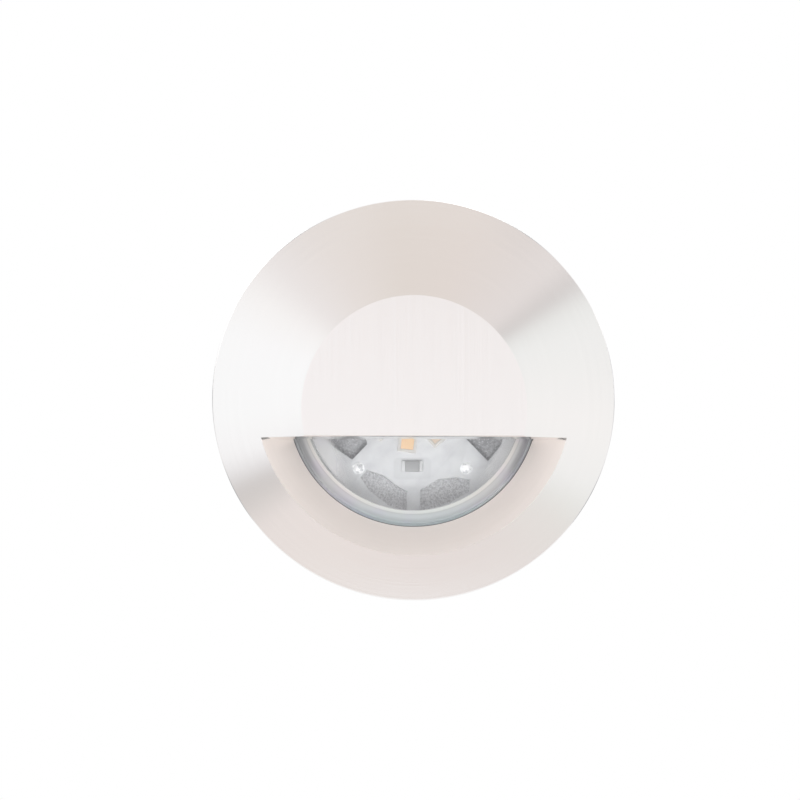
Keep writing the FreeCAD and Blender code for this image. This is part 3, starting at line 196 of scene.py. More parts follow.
class Recipe:
    """The nodes of one material. Its spot is the place on the object: x, y and z in millimetres."""

    def __init__(self, name):
        self.material = bpy.data.materials.new(name)
        self.material.use_nodes = True
        self.tree = self.material.node_tree
        self.tree.nodes.clear()
        place = self.node("ShaderNodeTexCoord", out=3)
        parts = self.tree.nodes.new("ShaderNodeSeparateXYZ")
        self.tree.links.new(place.socket, parts.inputs[0])
        self.spot = [Num(self, output) * (1 / MM) for output in parts.outputs]

    def node(self, kind, settings=None, sockets=None, out=0):
        """Adds a node: its settings first, then a value or a link for each of its sockets."""
        made = self.tree.nodes.new(kind)
        for key, setting in (settings or {}).items():
            if key == "stops":
                self._set_stops(made.color_ramp, setting)
            else:
                setattr(made, key, setting)
        for key, source in (sockets or {}).items():
            if isinstance(source, Num):
                self.tree.links.new(source.socket, made.inputs[key])
            else:
                made.inputs[key].default_value = source
        return Num(self, made.outputs[out] if made.outputs else None)

    @staticmethod
    def _set_stops(ramp, stops):
        while len(ramp.elements) < len(stops):
            ramp.elements.new(1.0)
        for element, (spot, colour) in zip(ramp.elements, stops):
            element.position = spot
            element.color = (*colour, 1.0)

    def radius(self):
        """Distance from the light's axis."""
        x, _, z = self.spot
        return (x * x + z * z).root()

    def turn(self):
        """Angle round the light's axis: 0 at the left, 0.25 below, 0.5 at the right and 0.75 above."""
        x, _, z = self.spot
        angle = self.node("ShaderNodeMath", {"operation": "ARCTAN2"}, {0: z, 1: x})
        return angle / (2 * math.pi) + 0.5

    def vector(self, x, y, z):
        return self.node("ShaderNodeCombineXYZ", None, {0: x, 1: y, 2: z})

    def vector_math(self, operation, first, second=(0.0, 0.0, 0.0)):
        return self.node("ShaderNodeVectorMath", {"operation": operation}, {0: first, 1: second})

    def scaled(self, vector, factor):
        return self.node("ShaderNodeVectorMath", {"operation": "SCALE"}, {0: vector, 3: factor})

    def noise(self, spot, detail=2.0, rough=0.5):
        """Smooth noise, 0 to 1 with a mean of a half, at a spot given as three numbers."""
        return self.node("ShaderNodeTexNoise", {"noise_dimensions": "3D"},
                         {"Vector": self.vector(*spot), "Scale": 1.0, "Detail": detail,
                          "Roughness": rough})

    def grain(self, fineness, detail=2.0, rough=0.5):
        """Noise on the object that is alike in all directions; a higher fineness makes it smaller."""
        return self.noise([part * fineness for part in self.spot], detail, rough)

    def line_noise(self, number, scale, detail=2.0):
        """Noise along one line."""
        return self.node("ShaderNodeTexNoise", {"noise_dimensions": "1D"},
                         {"W": number, "Scale": scale, "Detail": detail})

    def cell_edges(self, spot):
        """Distance to the nearest edge between cells."""
        return self.node("ShaderNodeTexVoronoi", {"feature": "DISTANCE_TO_EDGE"},
                         {"Vector": spot, "Scale": 1.0})

    def ramp(self, number, stops):
        return self.node("ShaderNodeValToRGB", {"stops": stops}, {0: number})

    def step(self, number, start, end):
        """0 below start, 1 above end and smooth between them."""
        return self.node("ShaderNodeMapRange", {"interpolation_type": "SMOOTHSTEP"},
                         {0: number, 1: start, 2: end, 3: 0.0, 4: 1.0})

    def mix(self, first, second, factor, blend="MIX"):
        """Mixes two colours."""
        first = first if isinstance(first, Num) else (*first, 1.0)
        second = second if isinstance(second, Num) else (*second, 1.0)
        return self.node("ShaderNodeMix", {"data_type": "RGBA", "blend_type": blend},
                         {0: factor, 6: first, 7: second}, out=2)

    def bump(self, height, depth):
        """Relief of a given depth in millimetres."""
        return self.node("ShaderNodeBump", None,
                         {"Height": height, "Distance": depth * MM, "Strength": 1.0})

    def surface(self, colour, **sockets):
        """A Principled shader; sockets are its values by name, with spaces as underscores."""
        wanted = {key.replace("_", " "): source for key, source in sockets.items()}
        wanted["Base Color"] = colour if isinstance(colour, Num) else (*colour, 1.0)
        return self.node("ShaderNodeBsdfPrincipled", None, wanted)

    def finish(self, shader):
        self.node("ShaderNodeOutputMaterial", None, {"Surface": shader})
        return self.material


def spread_normal(recipe, direction, amount):
    """The surface's normal, leaned along a direction by an amount that changes from groove to groove."""
    plain = recipe.node("ShaderNodeNewGeometry", out=1)
    lean = recipe.scaled(direction, amount)
    return recipe.vector_math("NORMALIZE", recipe.vector_math("ADD", plain, lean))


# ---------------------------------------------------------------- materials


def darker(colour, share):
    return tuple(part * share for part in colour)


def ring_brushed_metal(name, colour, spread, roughness, groove=60.0):
    """Metal turned under an abrasive: fine grooves in circles round the light's axis."""
    r = Recipe(name)
    x, y, z = r.spot
    radius = r.radius()
    away = r.vector_math("NORMALIZE", r.vector(x, 0.0, z))
    fine = r.line_noise(radius + y * 0.37, groove, 3.0)
    coarse = r.line_noise(radius, 1.3, 2.0)
    tint = r.mix(colour, darker(colour, 0.965), (fine - 0.35) * 1.6 + (coarse - 0.5) * 0.4)
    lean = spread_normal(r, away, (fine - 0.5) * spread)
    return r.finish(r.surface(tint, Metallic=1.0, Roughness=roughness + (coarse - 0.5) * 0.05,
                              Normal=lean))


def line_brushed_metal(name, colour, spread, roughness, across="x", groove=40.0):
    """Metal brushed in straight strokes; across names the axis that the strokes lie across."""
    r = Recipe(name)
    axes = dict(zip("xyz", r.spot))
    number = axes[across]
    along = axes["z"] if across != "z" else axes["y"]
    fine = r.line_noise(number, groove, 3.0)
    streak = r.noise((number * 3.0, along * 0.06, 0.0), 3.0)
    way = {"x": (1.0, 0.0, 0.0), "y": (0.0, 1.0, 0.0), "z": (0.0, 0.0, 1.0)}[across]
    tint = r.mix(colour, darker(colour, 0.95), (streak - 0.4) * 0.9 + (fine - 0.5) * 0.5)
    lean = spread_normal(r, r.vector(*way), (fine - 0.5) * spread)
    return r.finish(r.surface(tint, Metallic=1.0, Roughness=roughness, Normal=lean))


def lens_seal_material():
    """Soft seal, painted pale grey where light through the lens falls on it, and dark at its outer edge."""
    r = Recipe("lens_seal_rubber")
    grain = r.grain(6.0)
    outer = r.step(r.radius(), 18.62, 18.78)
    colour = r.mix((0.66, 0.67, 0.68), (0.16, 0.16, 0.165), outer)
    return r.finish(r.surface(colour, Roughness=0.5 + (grain - 0.5) * 0.2, Normal=r.bump(grain, 0.01)))


def satin_metal(name, colour):
    """Blasted metal in the scoop under the hood: pale, soft and almost without reflections."""
    r = Recipe(name)
    y = r.spot[1]
    ring = r.line_noise(r.radius() + y * 0.6, 9.0, 3.0)
    broad = r.grain(0.12)
    worn = (ring - 0.5) * 0.7 + r.step(broad, 0.4, 0.7) * 0.4
    tint = r.mix(colour, darker(colour, 0.95), worn)
    return r.finish(r.surface(tint, Metallic=0.15, Roughness=0.5 + (ring - 0.5) * 0.12))


def clear_lens_material():
    """Clear moulded lens that lets light through and glints, with a frosted, blue grey rounded edge."""
    r = Recipe("clear_lens")
    x, y, z = r.spot
    radius = r.radius()
    frosted = r.step(radius, 16.35, 16.55)
    # the ramp gives the rounded edge a frosted blue grey tone, with painted bright and dark rings across
    # it: painted highlight and shade
    colour = r.ramp((radius - 16.0) / 2.5, [
        (0.0, (0.85, 0.86, 0.87)), (0.14, (0.86, 0.86, 0.86)), (0.17, (0.60, 0.595, 0.58)),
        (0.27, (0.62, 0.61, 0.59)), (0.36, (0.60, 0.59, 0.57)), (0.40, (0.44, 0.44, 0.44)),
        (0.46, (0.49, 0.49, 0.495)),
        (0.6, (0.46, 0.465, 0.475)), (0.68, (0.43, 0.435, 0.445)), (0.8, (0.42, 0.43, 0.44)),
        (0.9, (0.62, 0.64, 0.65)), (0.97, (0.80, 0.82, 0.83))])
    swirl = r.noise((x * 0.22, z * 0.22, y), 1.0)
    cool = r.mix(colour, (0.86, 0.99, 1.02), 0.6 * r.step(-z, 13.0, 17.5), "MULTIPLY")
    swirled = r.mix(cool, (1.0, 0.93, 1.06), r.step(swirl, 0.45, 0.7) * 0.6, "MULTIPLY")
    # the two ends of the edge, up by the hood, get less light
    ends = r.step(x.size(), 13.0, 15.8) * r.step(radius, 17.2, 17.7)
    tinted = r.mix(swirled, (0.62, 0.63, 0.64), ends * 0.75, "MULTIPLY")
    grain = r.grain(5.0)
    edge = r.surface(tinted, Roughness=0.22 + (grain - 0.5) * 0.1, Specular_IOR_Level=0.5)
    glint = r.node("ShaderNodeFresnel", None, {"IOR": 1.45})
    gloss = r.surface((1.0, 1.0, 1.0), Metallic=1.0, Roughness=0.04 + (grain - 0.5) * 0.02)
    clear = r.node("ShaderNodeBsdfTransparent", None, {"Color": (0.985, 0.99, 0.995, 1.0)})
    window = r.node("ShaderNodeMixShader", None, {0: (glint * 0.7).capped(0.0, 0.5), 1: clear, 2: gloss})
    # painted light: light caught inside the lens is painted as a pale arc on its left, and a fainter pale
    # band on its right
    arc = r.step(-x, 9.0, 12.5) * r.step(radius, 13.0, 14.4) * (1.0 - r.step(radius, 15.9, 16.4))
    frost_and_painted_glow = frosted * 0.88 + arc * 0.4 + r.step(x, 9.0, 13.0) * r.step(radius, 14.4, 15.2) * 0.2
    return r.finish(r.node("ShaderNodeMixShader", None,
                           {0: frost_and_painted_glow.capped(0.0, 0.88), 1: window, 2: edge}))


def board_material():
    """White solder mask, a little thicker and cooler away from the copper."""
    r = Recipe("white_solder_mask")
    x, y, z = r.spot
    cloud = r.noise((x * 0.5, y, z * 0.5), 3.0)
    grain = r.grain(9.0)
    colour = r.mix((0.68, 0.69, 0.695), (0.61, 0.615, 0.63), r.step(cloud, 0.35, 0.75))
    # copper under the mask makes a duller, rounded field round each chip
    chip = high("chip_resistors").z - 0.5
    across = (x.size() - 2.2).capped(0.0, 9.0)
    up = ((z.size() - chip).size() - 1.0).capped(0.0, 9.0)
    field = 1.0 - r.step((across * across + up * up).root(), 0.45, 0.8)
    # painted shade: the strip between the two lower windows is darker towards the middle
    painted_spoke_shade = r.step(z.size(), 12.0, 12.8) * (1.0 - r.step(z.size(), 13.4, 15.0))
    colour = r.mix(colour, (0.56, 0.57, 0.575), field * 0.62)
    colour = r.mix(colour, (0.50, 0.51, 0.525), painted_spoke_shade * (1.0 - r.step(x.size(), 1.6, 2.2)) * 0.6)
    # painted light: the mask is given a faint glow that lightens the shade under the hood
    return r.finish(r.surface(colour, Roughness=0.42 + (grain - 0.5) * 0.1, Specular_IOR_Level=0.5,
                              Emission_Color=r.mix((1.0, 1.0, 1.0), (0.9, 0.9, 0.92), cloud),
                              Emission_Strength=0.16, Normal=r.bump(grain, 0.01)))


def spreader_material():
    """Coarse cast plate, grey with pale and dark specks."""
    r = Recipe("speckled_casting")
    z = r.spot[2]
    cloud = r.grain(3.0, 5.0, 0.75)
    speck = r.grain(5.0, 1.0)
    # painted light and shade: the plate is lighter further from the middle in height, so the upper windows
    # under the hood are painted in shade and the lower ones painted lighter
    outer = r.step(z.size(), 8.8, 11.5)
    dark = r.mix((0.44, 0.44, 0.45), (0.60, 0.60, 0.61), outer)
    base = r.mix(dark, r.mix((0.63, 0.63, 0.64), (0.84, 0.84, 0.85), outer), r.step(cloud, 0.4, 0.6))
    colour = r.mix(base, (0.99, 0.99, 1.0), r.step(speck, 0.60, 0.66) * 0.7)
    return r.finish(r.surface(colour, Metallic=0.1, Roughness=0.55, Normal=r.bump(cloud, 0.06)))


def phosphor_material():
    """Yellow phosphor, given a faint painted warm glow. The ones to the sides look paler, as the lens puts
    haze in front of them.
    """
    r = Recipe("phosphor")
    x = r.spot[0]
    fine = r.grain(12.0)
    side = r.step((x + 0.8).size(), 2.0, 2.8) * 0.72
    tint = r.mix((0.88, 0.67, 0.465), (0.72, 0.68, 0.63), side)
    tint = r.mix(tint, (0.80, 0.58, 0.38), (fine - 0.4) * 0.5)
    glow = r.mix((1.0, 0.62, 0.34), (0.5, 0.45, 0.4), side)
    return r.finish(r.surface(tint, Roughness=0.3 + (fine - 0.5) * 0.16, Emission_Color=glow,
                              Emission_Strength=0.25, Normal=r.bump(fine, 0.004)))


def moulded(name, colour, roughness=0.45, grain=14.0, depth=0.01, glow=None, strength=0.12, coat=0.0):
    """Moulded or coated surface with a fine grain and slightly uneven colour."""
    r = Recipe(name)
    fine = r.grain(grain)
    broad = r.grain(0.4)
    tint = r.mix(colour, darker(colour, 0.86), r.step(broad, 0.35, 0.7) * 0.6 + (fine - 0.5) * 0.5)
    sockets = {"Roughness": roughness + (fine - 0.5) * 0.16, "Normal": r.bump(fine, depth),
               "Coat_Weight": coat}
    if glow:
        sockets["Emission_Color"] = r.mix(glow, darker(glow, 0.9), r.step(fine, 0.4, 0.7))
        sockets["Emission_Strength"] = strength
    return r.finish(r.surface(tint, **sockets))


def bright_metal(name, colour, roughness=0.25, grain=6.0, depth=0.006):
    """Plain bright metal with faint handling marks."""
    r = Recipe(name)
    x, y, z = r.spot
    marks = r.noise((x * grain, y * grain * 0.35, z * grain), 4.0, 0.6)
    haze = r.grain(0.7)
    tint = r.mix(colour, darker(colour, 0.82), r.step(haze, 0.3, 0.75) * 0.7)
    return r.finish(r.surface(tint, Metallic=1.0, Roughness=roughness + (marks - 0.5) * 0.14,
                              Normal=r.bump(marks, depth)))


def solder_with_painted_highlights():
    """Bright solder that has set unevenly; its white and grey patches are partly its uneven set and partly
    painted highlight, and it is given a painted glow.
    """
    r = Recipe("solder")
    lumps = r.grain(1.8)
    tint = r.mix((1.0, 1.0, 1.0), (0.5, 0.51, 0.53), r.step(lumps, 0.5, 0.66))
    glow = r.mix((1.0, 1.0, 1.0), (0.7, 0.7, 0.7), lumps)
    return r.finish(r.surface(tint, Metallic=0.35, Roughness=0.16 + (lumps - 0.5) * 0.1,
                              Emission_Color=glow, Emission_Strength=0.4, Normal=r.bump(lumps, 0.12)))


def cast_metal(name, colour):
    """Cast and turned alloy: sandy skin between the fins, lathe rings where it was turned."""
    r = Recipe(name)
    y = r.spot[1]
    radius = r.radius()
    sand = r.grain(4.0, 5.0, 0.65)
    turned_rings = (radius * 9.0 + y * 14.0).sine()
    skin = r.step(radius, 22.6, 23.6)
    height = sand * (1.0 - skin * 0.7) + turned_rings * skin * 0.12
    stain = r.grain(0.11)
    tint = r.mix(colour, darker(colour, 0.76),
                 r.step(stain, 0.3, 0.8) * 0.25 + (1.0 - skin) * 0.4 + (sand - 0.5) * 0.5)
    return r.finish(r.surface(tint, Metallic=1.0, Roughness=0.42 - skin * 0.10 + (sand - 0.5) * 0.12,
                              Normal=r.bump(height, 0.05)))


def driver_board_material():
    """Green solder mask with lighter copper tracks under it."""
    r = Recipe("driver_solder_mask")
    x, _, z = r.spot
    track = 1.0 - r.step(r.cell_edges(r.vector(x * 0.35, 0.0, z * 0.35)), 0.03, 0.06)
    grain = r.grain(8.0)
    colour = r.mix((0.035, 0.22, 0.10), (0.08, 0.38, 0.19), track)
    return r.finish(r.surface(colour, Roughness=0.32 + (grain - 0.5) * 0.1, Normal=r.bump(track, 0.03)))


# ---------------------------------------------------------------- meshes


def add_object(name, data):
    made = bpy.data.objects.new(name, data)
    bpy.context.scene.collection.objects.link(made)
    return made


def make_piece(name, corners, faces, material):
    """A mesh from corners in millimetres, with its normals turned outwards."""
    mesh = bpy.data.meshes.new(name)
    mesh.from_pydata([tuple(c * MM for c in corner) for corner in corners], [], faces)
    mesh.materials.append(material)
    piece = add_object(name, mesh)
    turn_outwards(piece)
    return piece


def turn_outwards(piece):
    """Makes all the faces of a piece look outwards."""
    form = bmesh.new()
    form.from_mesh(piece.data)
    bmesh.ops.recalc_face_normals(form, faces=form.faces)
    form.to_mesh(piece.data)
    form.free()


def smooth(piece, angle=30.0):
    """Smooth shading that breaks at edges sharper than the angle."""
    piece.data.polygons.foreach_set("use_smooth", [True] * len(piece.data.polygons))
    piece.data.set_sharp_from_angle(angle=math.radians(angle))
    return piece


def baked(piece):
    """Replaces a piece's mesh by what its modifiers make of it."""
    graph = bpy.context.evaluated_depsgraph_get()
    mesh = bpy.data.meshes.new_from_object(piece.evaluated_get(graph))
    mesh.name = piece.name
    piece.modifiers.clear()
    piece.data = mesh
    return piece


def joined_by(piece, tool, operation):
    """Boolean of two pieces; the tool is used up."""
    step = piece.modifiers.new("boolean", "BOOLEAN")
    step.operation = operation
    step.solver = "EXACT"
    step.object = tool
    baked(piece)
    bpy.data.objects.remove(tool)
    return piece


def corner_arc(before, corner, after, radius, steps=5):
    """Points of the arc that rounds a corner of an outline."""
    back = (Vector(before) - Vector(corner)).normalized()
    ahead = (Vector(after) - Vector(corner)).normalized()
    half = back.angle(ahead) / 2
    reach = radius / math.tan(half)
    centre = Vector(corner) + (back + ahead).normalized() * (radius / math.sin(half))
    start = Vector(corner) + back * reach - centre
    end = Vector(corner) + ahead * reach - centre
    turn = start.angle_signed(end)
    points = []
    for i in range(steps + 1):
        points.append(centre + Matrix.Rotation(-turn * i / steps, 2) @ start)
    return points


def rounded(outline):
    """An outline of (x, y) or (x, y, radius) corners, with the radii worked in."""
    count = len(outline)
    points = []
    for i, corner in enumerate(outline):
        spot = Vector(corner[:2])
        if len(corner) == 3:
            points += corner_arc(outline[i - 1][:2], spot, outline[(i + 1) % count][:2], corner[2])
        else:
            points.append(spot)
    return points


def on_circle(radius, station, angle):
    """A point round the light's axis."""
    return (radius * math.cos(angle), station, radius * math.sin(angle))


def turned(name, outline, material, segments):
    """Turns an outline of (radius, station, rounding) corners about the light's axis."""
    points = rounded(outline)
    corners, rings = [], []
    for radius, station in points:
        if radius < 1e-6:
            rings.append([len(corners)])
            corners.append((0.0, station, 0.0))
            continue
        rings.append(list(range(len(corners), len(corners) + segments)))
        for i in range(segments):
            corners.append(on_circle(radius, station, 2 * math.pi * i / segments))
    faces = []
    for first, second in zip(rings, rings[1:] + rings[:1]):
        if len(first) == 1 and len(second) == 1:
            continue
        for i in range(segments):
            j = (i + 1) % segments
            quad = [first[i % len(first)], second[i % len(second)],
                    second[j % len(second)], first[j % len(first)]]
            faces.append(list(dict.fromkeys(quad)))
    return make_piece(name, corners, faces, material)


def pushed(name, outline, low_end, high_end, material, axis="x"):
    """Pushes an outline along an axis. The outline's two numbers are the next two axes in turn."""
    order = {"x": (0, 1, 2), "y": (1, 2, 0), "z": (2, 0, 1)}[axis]
    points = rounded(outline)
    count = len(points)
    corners = []
    for level in (low_end, high_end):
        for first, second in points:
            corner = [0.0, 0.0, 0.0]
            corner[order[0]], corner[order[1]], corner[order[2]] = level, first, second
            corners.append(tuple(corner))
    faces = [list(range(count)), list(range(count, 2 * count))]
    for i in range(count):
        j = (i + 1) % count
        faces.append([i, j, count + j, count + i])
    return make_piece(name, corners, faces, material)


def eased(piece, width, angle=25.0, steps=2):
    """Rounds a piece's sharp edges."""
    step = piece.modifiers.new("round", "BEVEL")
    step.width = width * MM
    step.segments = steps
    step.limit_method = "ANGLE"
    step.angle_limit = math.radians(angle)
    return smooth(baked(piece))


def softened(name, width, angle=25.0):
    """Copy of a node with its corners eased: its flats are made whole first, then its edges are rounded."""
    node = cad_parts[name]
    mesh = node.data.copy()
    mesh.transform(node.matrix_world)
    form = bmesh.new()
    form.from_mesh(mesh)
    bmesh.ops.remove_doubles(form, verts=form.verts, dist=MERGE_GAP * MM)
    bmesh.ops.dissolve_limit(form, angle_limit=FLAT_ANGLE, verts=form.verts, edges=form.edges)
    form.to_mesh(mesh)
    form.free()
    return eased(add_object(f"{name}_eased", mesh), width, angle)


def fitted(piece, node, body="light", stands_for=True):
    """Sets a finished piece on its body, and hides the node if the piece stands for it."""
    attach(piece, body)
    if stands_for:
        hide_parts(node)
    return piece


# ---------------------------------------------------------------- repeats and wires (Geometry Nodes)


class Tree:
    """A Geometry Nodes tree with named inputs."""

    def __init__(self, name, inputs):
        self.group = bpy.data.node_groups.new(name, "GeometryNodeTree")
        face = self.group.interface
        face.new_socket("Geometry", in_out="OUTPUT", socket_type="NodeSocketGeometry")
        face.new_socket("Geometry", in_out="INPUT", socket_type="NodeSocketGeometry")
        for label, kind in inputs:
            face.new_socket(label, in_out="INPUT", socket_type=kind)
        self.source = self.group.nodes.new("NodeGroupInput")

    def given(self, label):
        return self.source.outputs[label]

    def node(self, kind, settings=None, sockets=None, out=0):
        made = self.group.nodes.new(kind)
        for key, setting in (settings or {}).items():
            setattr(made, key, setting)
        for key, source in (sockets or {}).items():
            if isinstance(source, bpy.types.NodeSocket):
                self.group.links.new(source, made.inputs[key])
            else:
                made.inputs[key].default_value = source
        return made.outputs[out]

    def finish(self, geometry):
        """Realises the copies, gives them their material and ends the tree."""
        real = self.node("GeometryNodeRealizeInstances", None, {0: geometry})
        dressed = self.node("GeometryNodeSetMaterial", None, {0: real, "Material": self.given("Material")})
        end = self.group.nodes.new("NodeGroupOutput")
        self.group.links.new(dressed, end.inputs[0])
        return self.group


def wire_tree():
    """A round wire along the edges of a path."""
    tree = Tree("round_wire", [("Radius", "NodeSocketFloat"), ("Sides", "NodeSocketInt"),
                               ("Material", "NodeSocketMaterial")])
    path = tree.node("GeometryNodeMeshToCurve", None, {0: tree.given("Geometry")})
    section = tree.node("GeometryNodeCurvePrimitiveCircle", None,
                        {"Resolution": tree.given("Sides"), "Radius": tree.given("Radius")})
    tube = tree.node("GeometryNodeCurveToMesh", None,
                     {"Curve": path, "Profile Curve": section, "Fill Caps": True})
    return tree.finish(tree.node("GeometryNodeSetShadeSmooth", None, {0: tube, "Shade Smooth": True}))


def rib_tree():
    """A row of round ribs that lie along Z."""
    tree = Tree("row_of_ribs", [("Count", "NodeSocketInt"), ("Start", "NodeSocketVector"),
                                ("Step", "NodeSocketVector"), ("Length", "NodeSocketFloat"),
                                ("Thickness", "NodeSocketFloat"), ("Material", "NodeSocketMaterial")])
    row = tree.node("GeometryNodeMeshLine", {"mode": "OFFSET"},
                    {"Count": tree.given("Count"), "Start Location": tree.given("Start"),
                     "Offset": tree.given("Step")})
    rib = tree.node("GeometryNodeMeshCylinder", None,
                    {"Vertices": 20, "Radius": tree.given("Thickness"), "Depth": tree.given("Length")})
    return tree.finish(tree.node("GeometryNodeInstanceOnPoints", None, {"Points": row, "Instance": rib}))


def run_tree(name, group, path, **settings):
    """A plain mesh from a tree, its inputs set by the names that the tree gives them. The path is in mm."""
    mesh = bpy.data.meshes.new(name)
    mesh.from_pydata([tuple(c * MM for c in spot) for spot in path],
                     [(i, i + 1) for i in range(len(path) - 1)], [])
    piece = add_object(name, mesh)
    step = piece.modifiers.new("tree", "NODES")
    step.node_group = group
    for item in group.interface.items_tree:
        if item.in_out == "INPUT" and item.name in settings:
            step[item.identifier] = settings[item.name]
    return baked(piece)


# ---------------------------------------------------------------- face plate


def face_plate_piece():
    """Rim, cone and hood as one turned blank, then the flat front and the scoop are cut."""
    slope = math.tan(CONE_ANGLE)
    blank_front = LAND_FRONT - 2 * FACE_RADIUS * math.tan(LAND_TILT)
    top_radius = FACE_RADIUS - (RIM_FRONT - blank_front) / slope
    around = ring_brushed_metal("face_ring_brushed", FACE_COLOUR, 0.55, 0.13)
    face = turned("face", [
        (0, blank_front), (top_radius, blank_front), (FACE_RADIUS, RIM_FRONT, RIM_ROUND),
        (FACE_RADIUS, FLANGE_BACK, FLANGE_ROUND), (SPIGOT_RADIUS, FLANGE_BACK),
        (SPIGOT_RADIUS, GROOVE_FRONT), (GROOVE_RADIUS, GROOVE_FRONT), (GROOVE_RADIUS, GROOVE_BACK),
        (SPIGOT_RADIUS, GROOVE_BACK), (SPIGOT_RADIUS, SPIGOT_END), (SEAT_RADIUS, SPIGOT_END),
        (SEAT_RADIUS, LIP_BACK), (APERTURE, LIP_BACK), (APERTURE, HOOD_BACK), (0, HOOD_BACK)],
        around, FACE_SEGMENTS)
    lean = FACE_RADIUS * math.tan(LAND_TILT)
    far = blank_front - FACE_RADIUS
    joined_by(face, pushed("land_tool", [
        (LAND_FRONT - lean, FACE_RADIUS), (LAND_FRONT + lean, -FACE_RADIUS), (far, -FACE_RADIUS),
        (far, FACE_RADIUS)], -2 * FACE_RADIUS, 2 * FACE_RADIUS, around), "DIFFERENCE")
    reach = LIP_FRONT - blank_front
    scoop = turned("scoop_tool", [
        (0, blank_front), (APERTURE + reach * math.tan(SCOOP_ANGLE), blank_front), (APERTURE, LIP_FRONT),
        (0, LIP_FRONT)], around, FACE_SEGMENTS)
    land_edge = LAND_FRONT - HOOD_EDGE * math.tan(LAND_TILT)
    bend = HOOD_ROUND * HOOD_BEND
    below = pushed("below_tool", [
        (far, -2 * FACE_RADIUS), (far, HOOD_EDGE + HOOD_ROUND), (land_edge, HOOD_EDGE + HOOD_ROUND),
        (land_edge + bend, HOOD_EDGE + bend), (land_edge + HOOD_ROUND, HOOD_EDGE),
        (LIP_FRONT + 1, HOOD_EDGE), (LIP_FRONT + 1, -2 * FACE_RADIUS)],
        -2 * FACE_RADIUS, 2 * FACE_RADIUS, around)
    joined_by(face, joined_by(scoop, below, "INTERSECT"), "DIFFERENCE")
    face.data.materials.clear()
    face.data.materials.append(around)
    face.data.materials.append(line_brushed_metal("face_line_brushed", LAND_COLOUR, 0.5, 0.2))
    face.data.materials.append(satin_metal("scoop_satin", SCOOP_COLOUR))
    land_normal = Vector((0, -math.cos(LAND_TILT), -math.sin(LAND_TILT)))
    for facet in face.data.polygons:
        spot = facet.center / MM
        leans_in = facet.normal.dot(Vector((spot.x, 0, spot.z)).normalized()) < -0.5
        if facet.normal.dot(land_normal) > 0.9999 and spot.y < HOOD_BACK - 1:
            facet.material_index = 1
        elif leans_in and spot.z < HOOD_EDGE - HOOD_ROUND and spot.y < LIP_FRONT:
            facet.material_index = 2
    return fitted(smooth(face, 8.0), "face_plate")


# ---------------------------------------------------------------- lens, ring and light source


def lens_piece():
    """Clear disc with a flange behind and a rounded shoulder in front."""
    front, back = low("lens").y, high("lens").y
    flange = back - LENS_FLANGE
    edge = high("lens").x
    lens = turned("lens_disc", [
        (0, front), (LENS_FRONT_RADIUS, front, LENS_SHOULDER), (LENS_FRONT_RADIUS, flange),
        (edge, flange, LENS_EDGE_ROUND), (edge, back, LENS_EDGE_ROUND), (0, back)],
        clear_lens_material(), LENS_SEGMENTS)
    return fitted(smooth(lens), "lens")


def ring_piece():
    """Ring behind the lens: a bright cove that narrows to a small lip."""
    front, back = low("lens_ring").y, high("lens_ring").y
    outer = high("lens_ring").x
    bore = LENS_FRONT_RADIUS - RING_COVE
    metal = moulded("ring_pale", (0.93, 0.935, 0.93), 0.25, 8.0, 0.004)
    ring = turned("retaining_ring", [
        (LENS_FRONT_RADIUS, front), (outer, front, RING_ROUND), (outer, back, RING_ROUND),
        (bore, back), (bore, back - RING_LIP, RING_LIP_ROUND)], metal, LENS_SEGMENTS)
    return fitted(smooth(ring), "lens_ring")


def solder_piece(side, material):
    """Joint of a lead on the board: an uneven dome, and a smaller one beside it."""
    board = high("solder_joints").y
    middle = (low("solder_joints").z + high("solder_joints").z) / 2
    domes = [solder_dome(f"{side}_solder{i}", (x, board, middle + rise), size, seed, material)
             for i, (x, rise, size, seed) in enumerate(SOLDER_DOMES[side])]
    return smooth(joined_by(domes[0], domes[1], "UNION"), 60.0)


def solder_dome(name, spot, radius, seed, material):
    """A ball, flattened behind where it meets the board and drawn in unevenly."""
    form = bmesh.new()
    bmesh.ops.create_icosphere(form, subdivisions=4, radius=1.0)
    for corner in form.verts:
        uneven = 0.98 - 0.2 * abs(noise.noise(corner.co * 1.6 + Vector((seed, 0, 0))))
        flat = SOLDER_FOOT_SHARE if corner.co.y > 0 else SOLDER_HEIGHT_SHARE
        shape = Vector((corner.co.x, corner.co.y * flat, corner.co.z))
        corner.co = shape * (uneven * radius) + Vector(spot)
    mesh = bpy.data.meshes.new(name)
    form.to_mesh(mesh)
    form.free()
    mesh.transform(Matrix.Scale(MM, 4))
    mesh.materials.append(material)
    return add_object(name, mesh)


def winding_piece(wires):
    """Copper wire wound on the inductor's waist."""
    middle = (low("driver_inductor") + high("driver_inductor")) / 2
    steps = 40
    path = []
    for i in range(steps * WINDING_TURNS + 1):
        station = WINDING_FIRST + (WINDING_LAST - WINDING_FIRST) * i / steps / WINDING_TURNS
        around = on_circle(WINDING_RADIUS, station, 2 * math.pi * i / steps)
        path.append((middle.x + around[0], station, middle.z + around[2]))
    copper = bright_metal("enamelled_copper", (0.72, 0.33, 0.16), 0.3, 8.0, 0.01)
    winding = run_tree("inductor_winding", wires, path, Radius=WINDING_WIRE * MM, Sides=10,
                       Material=copper)
    return fitted(winding, "driver_inductor", stands_for=False)


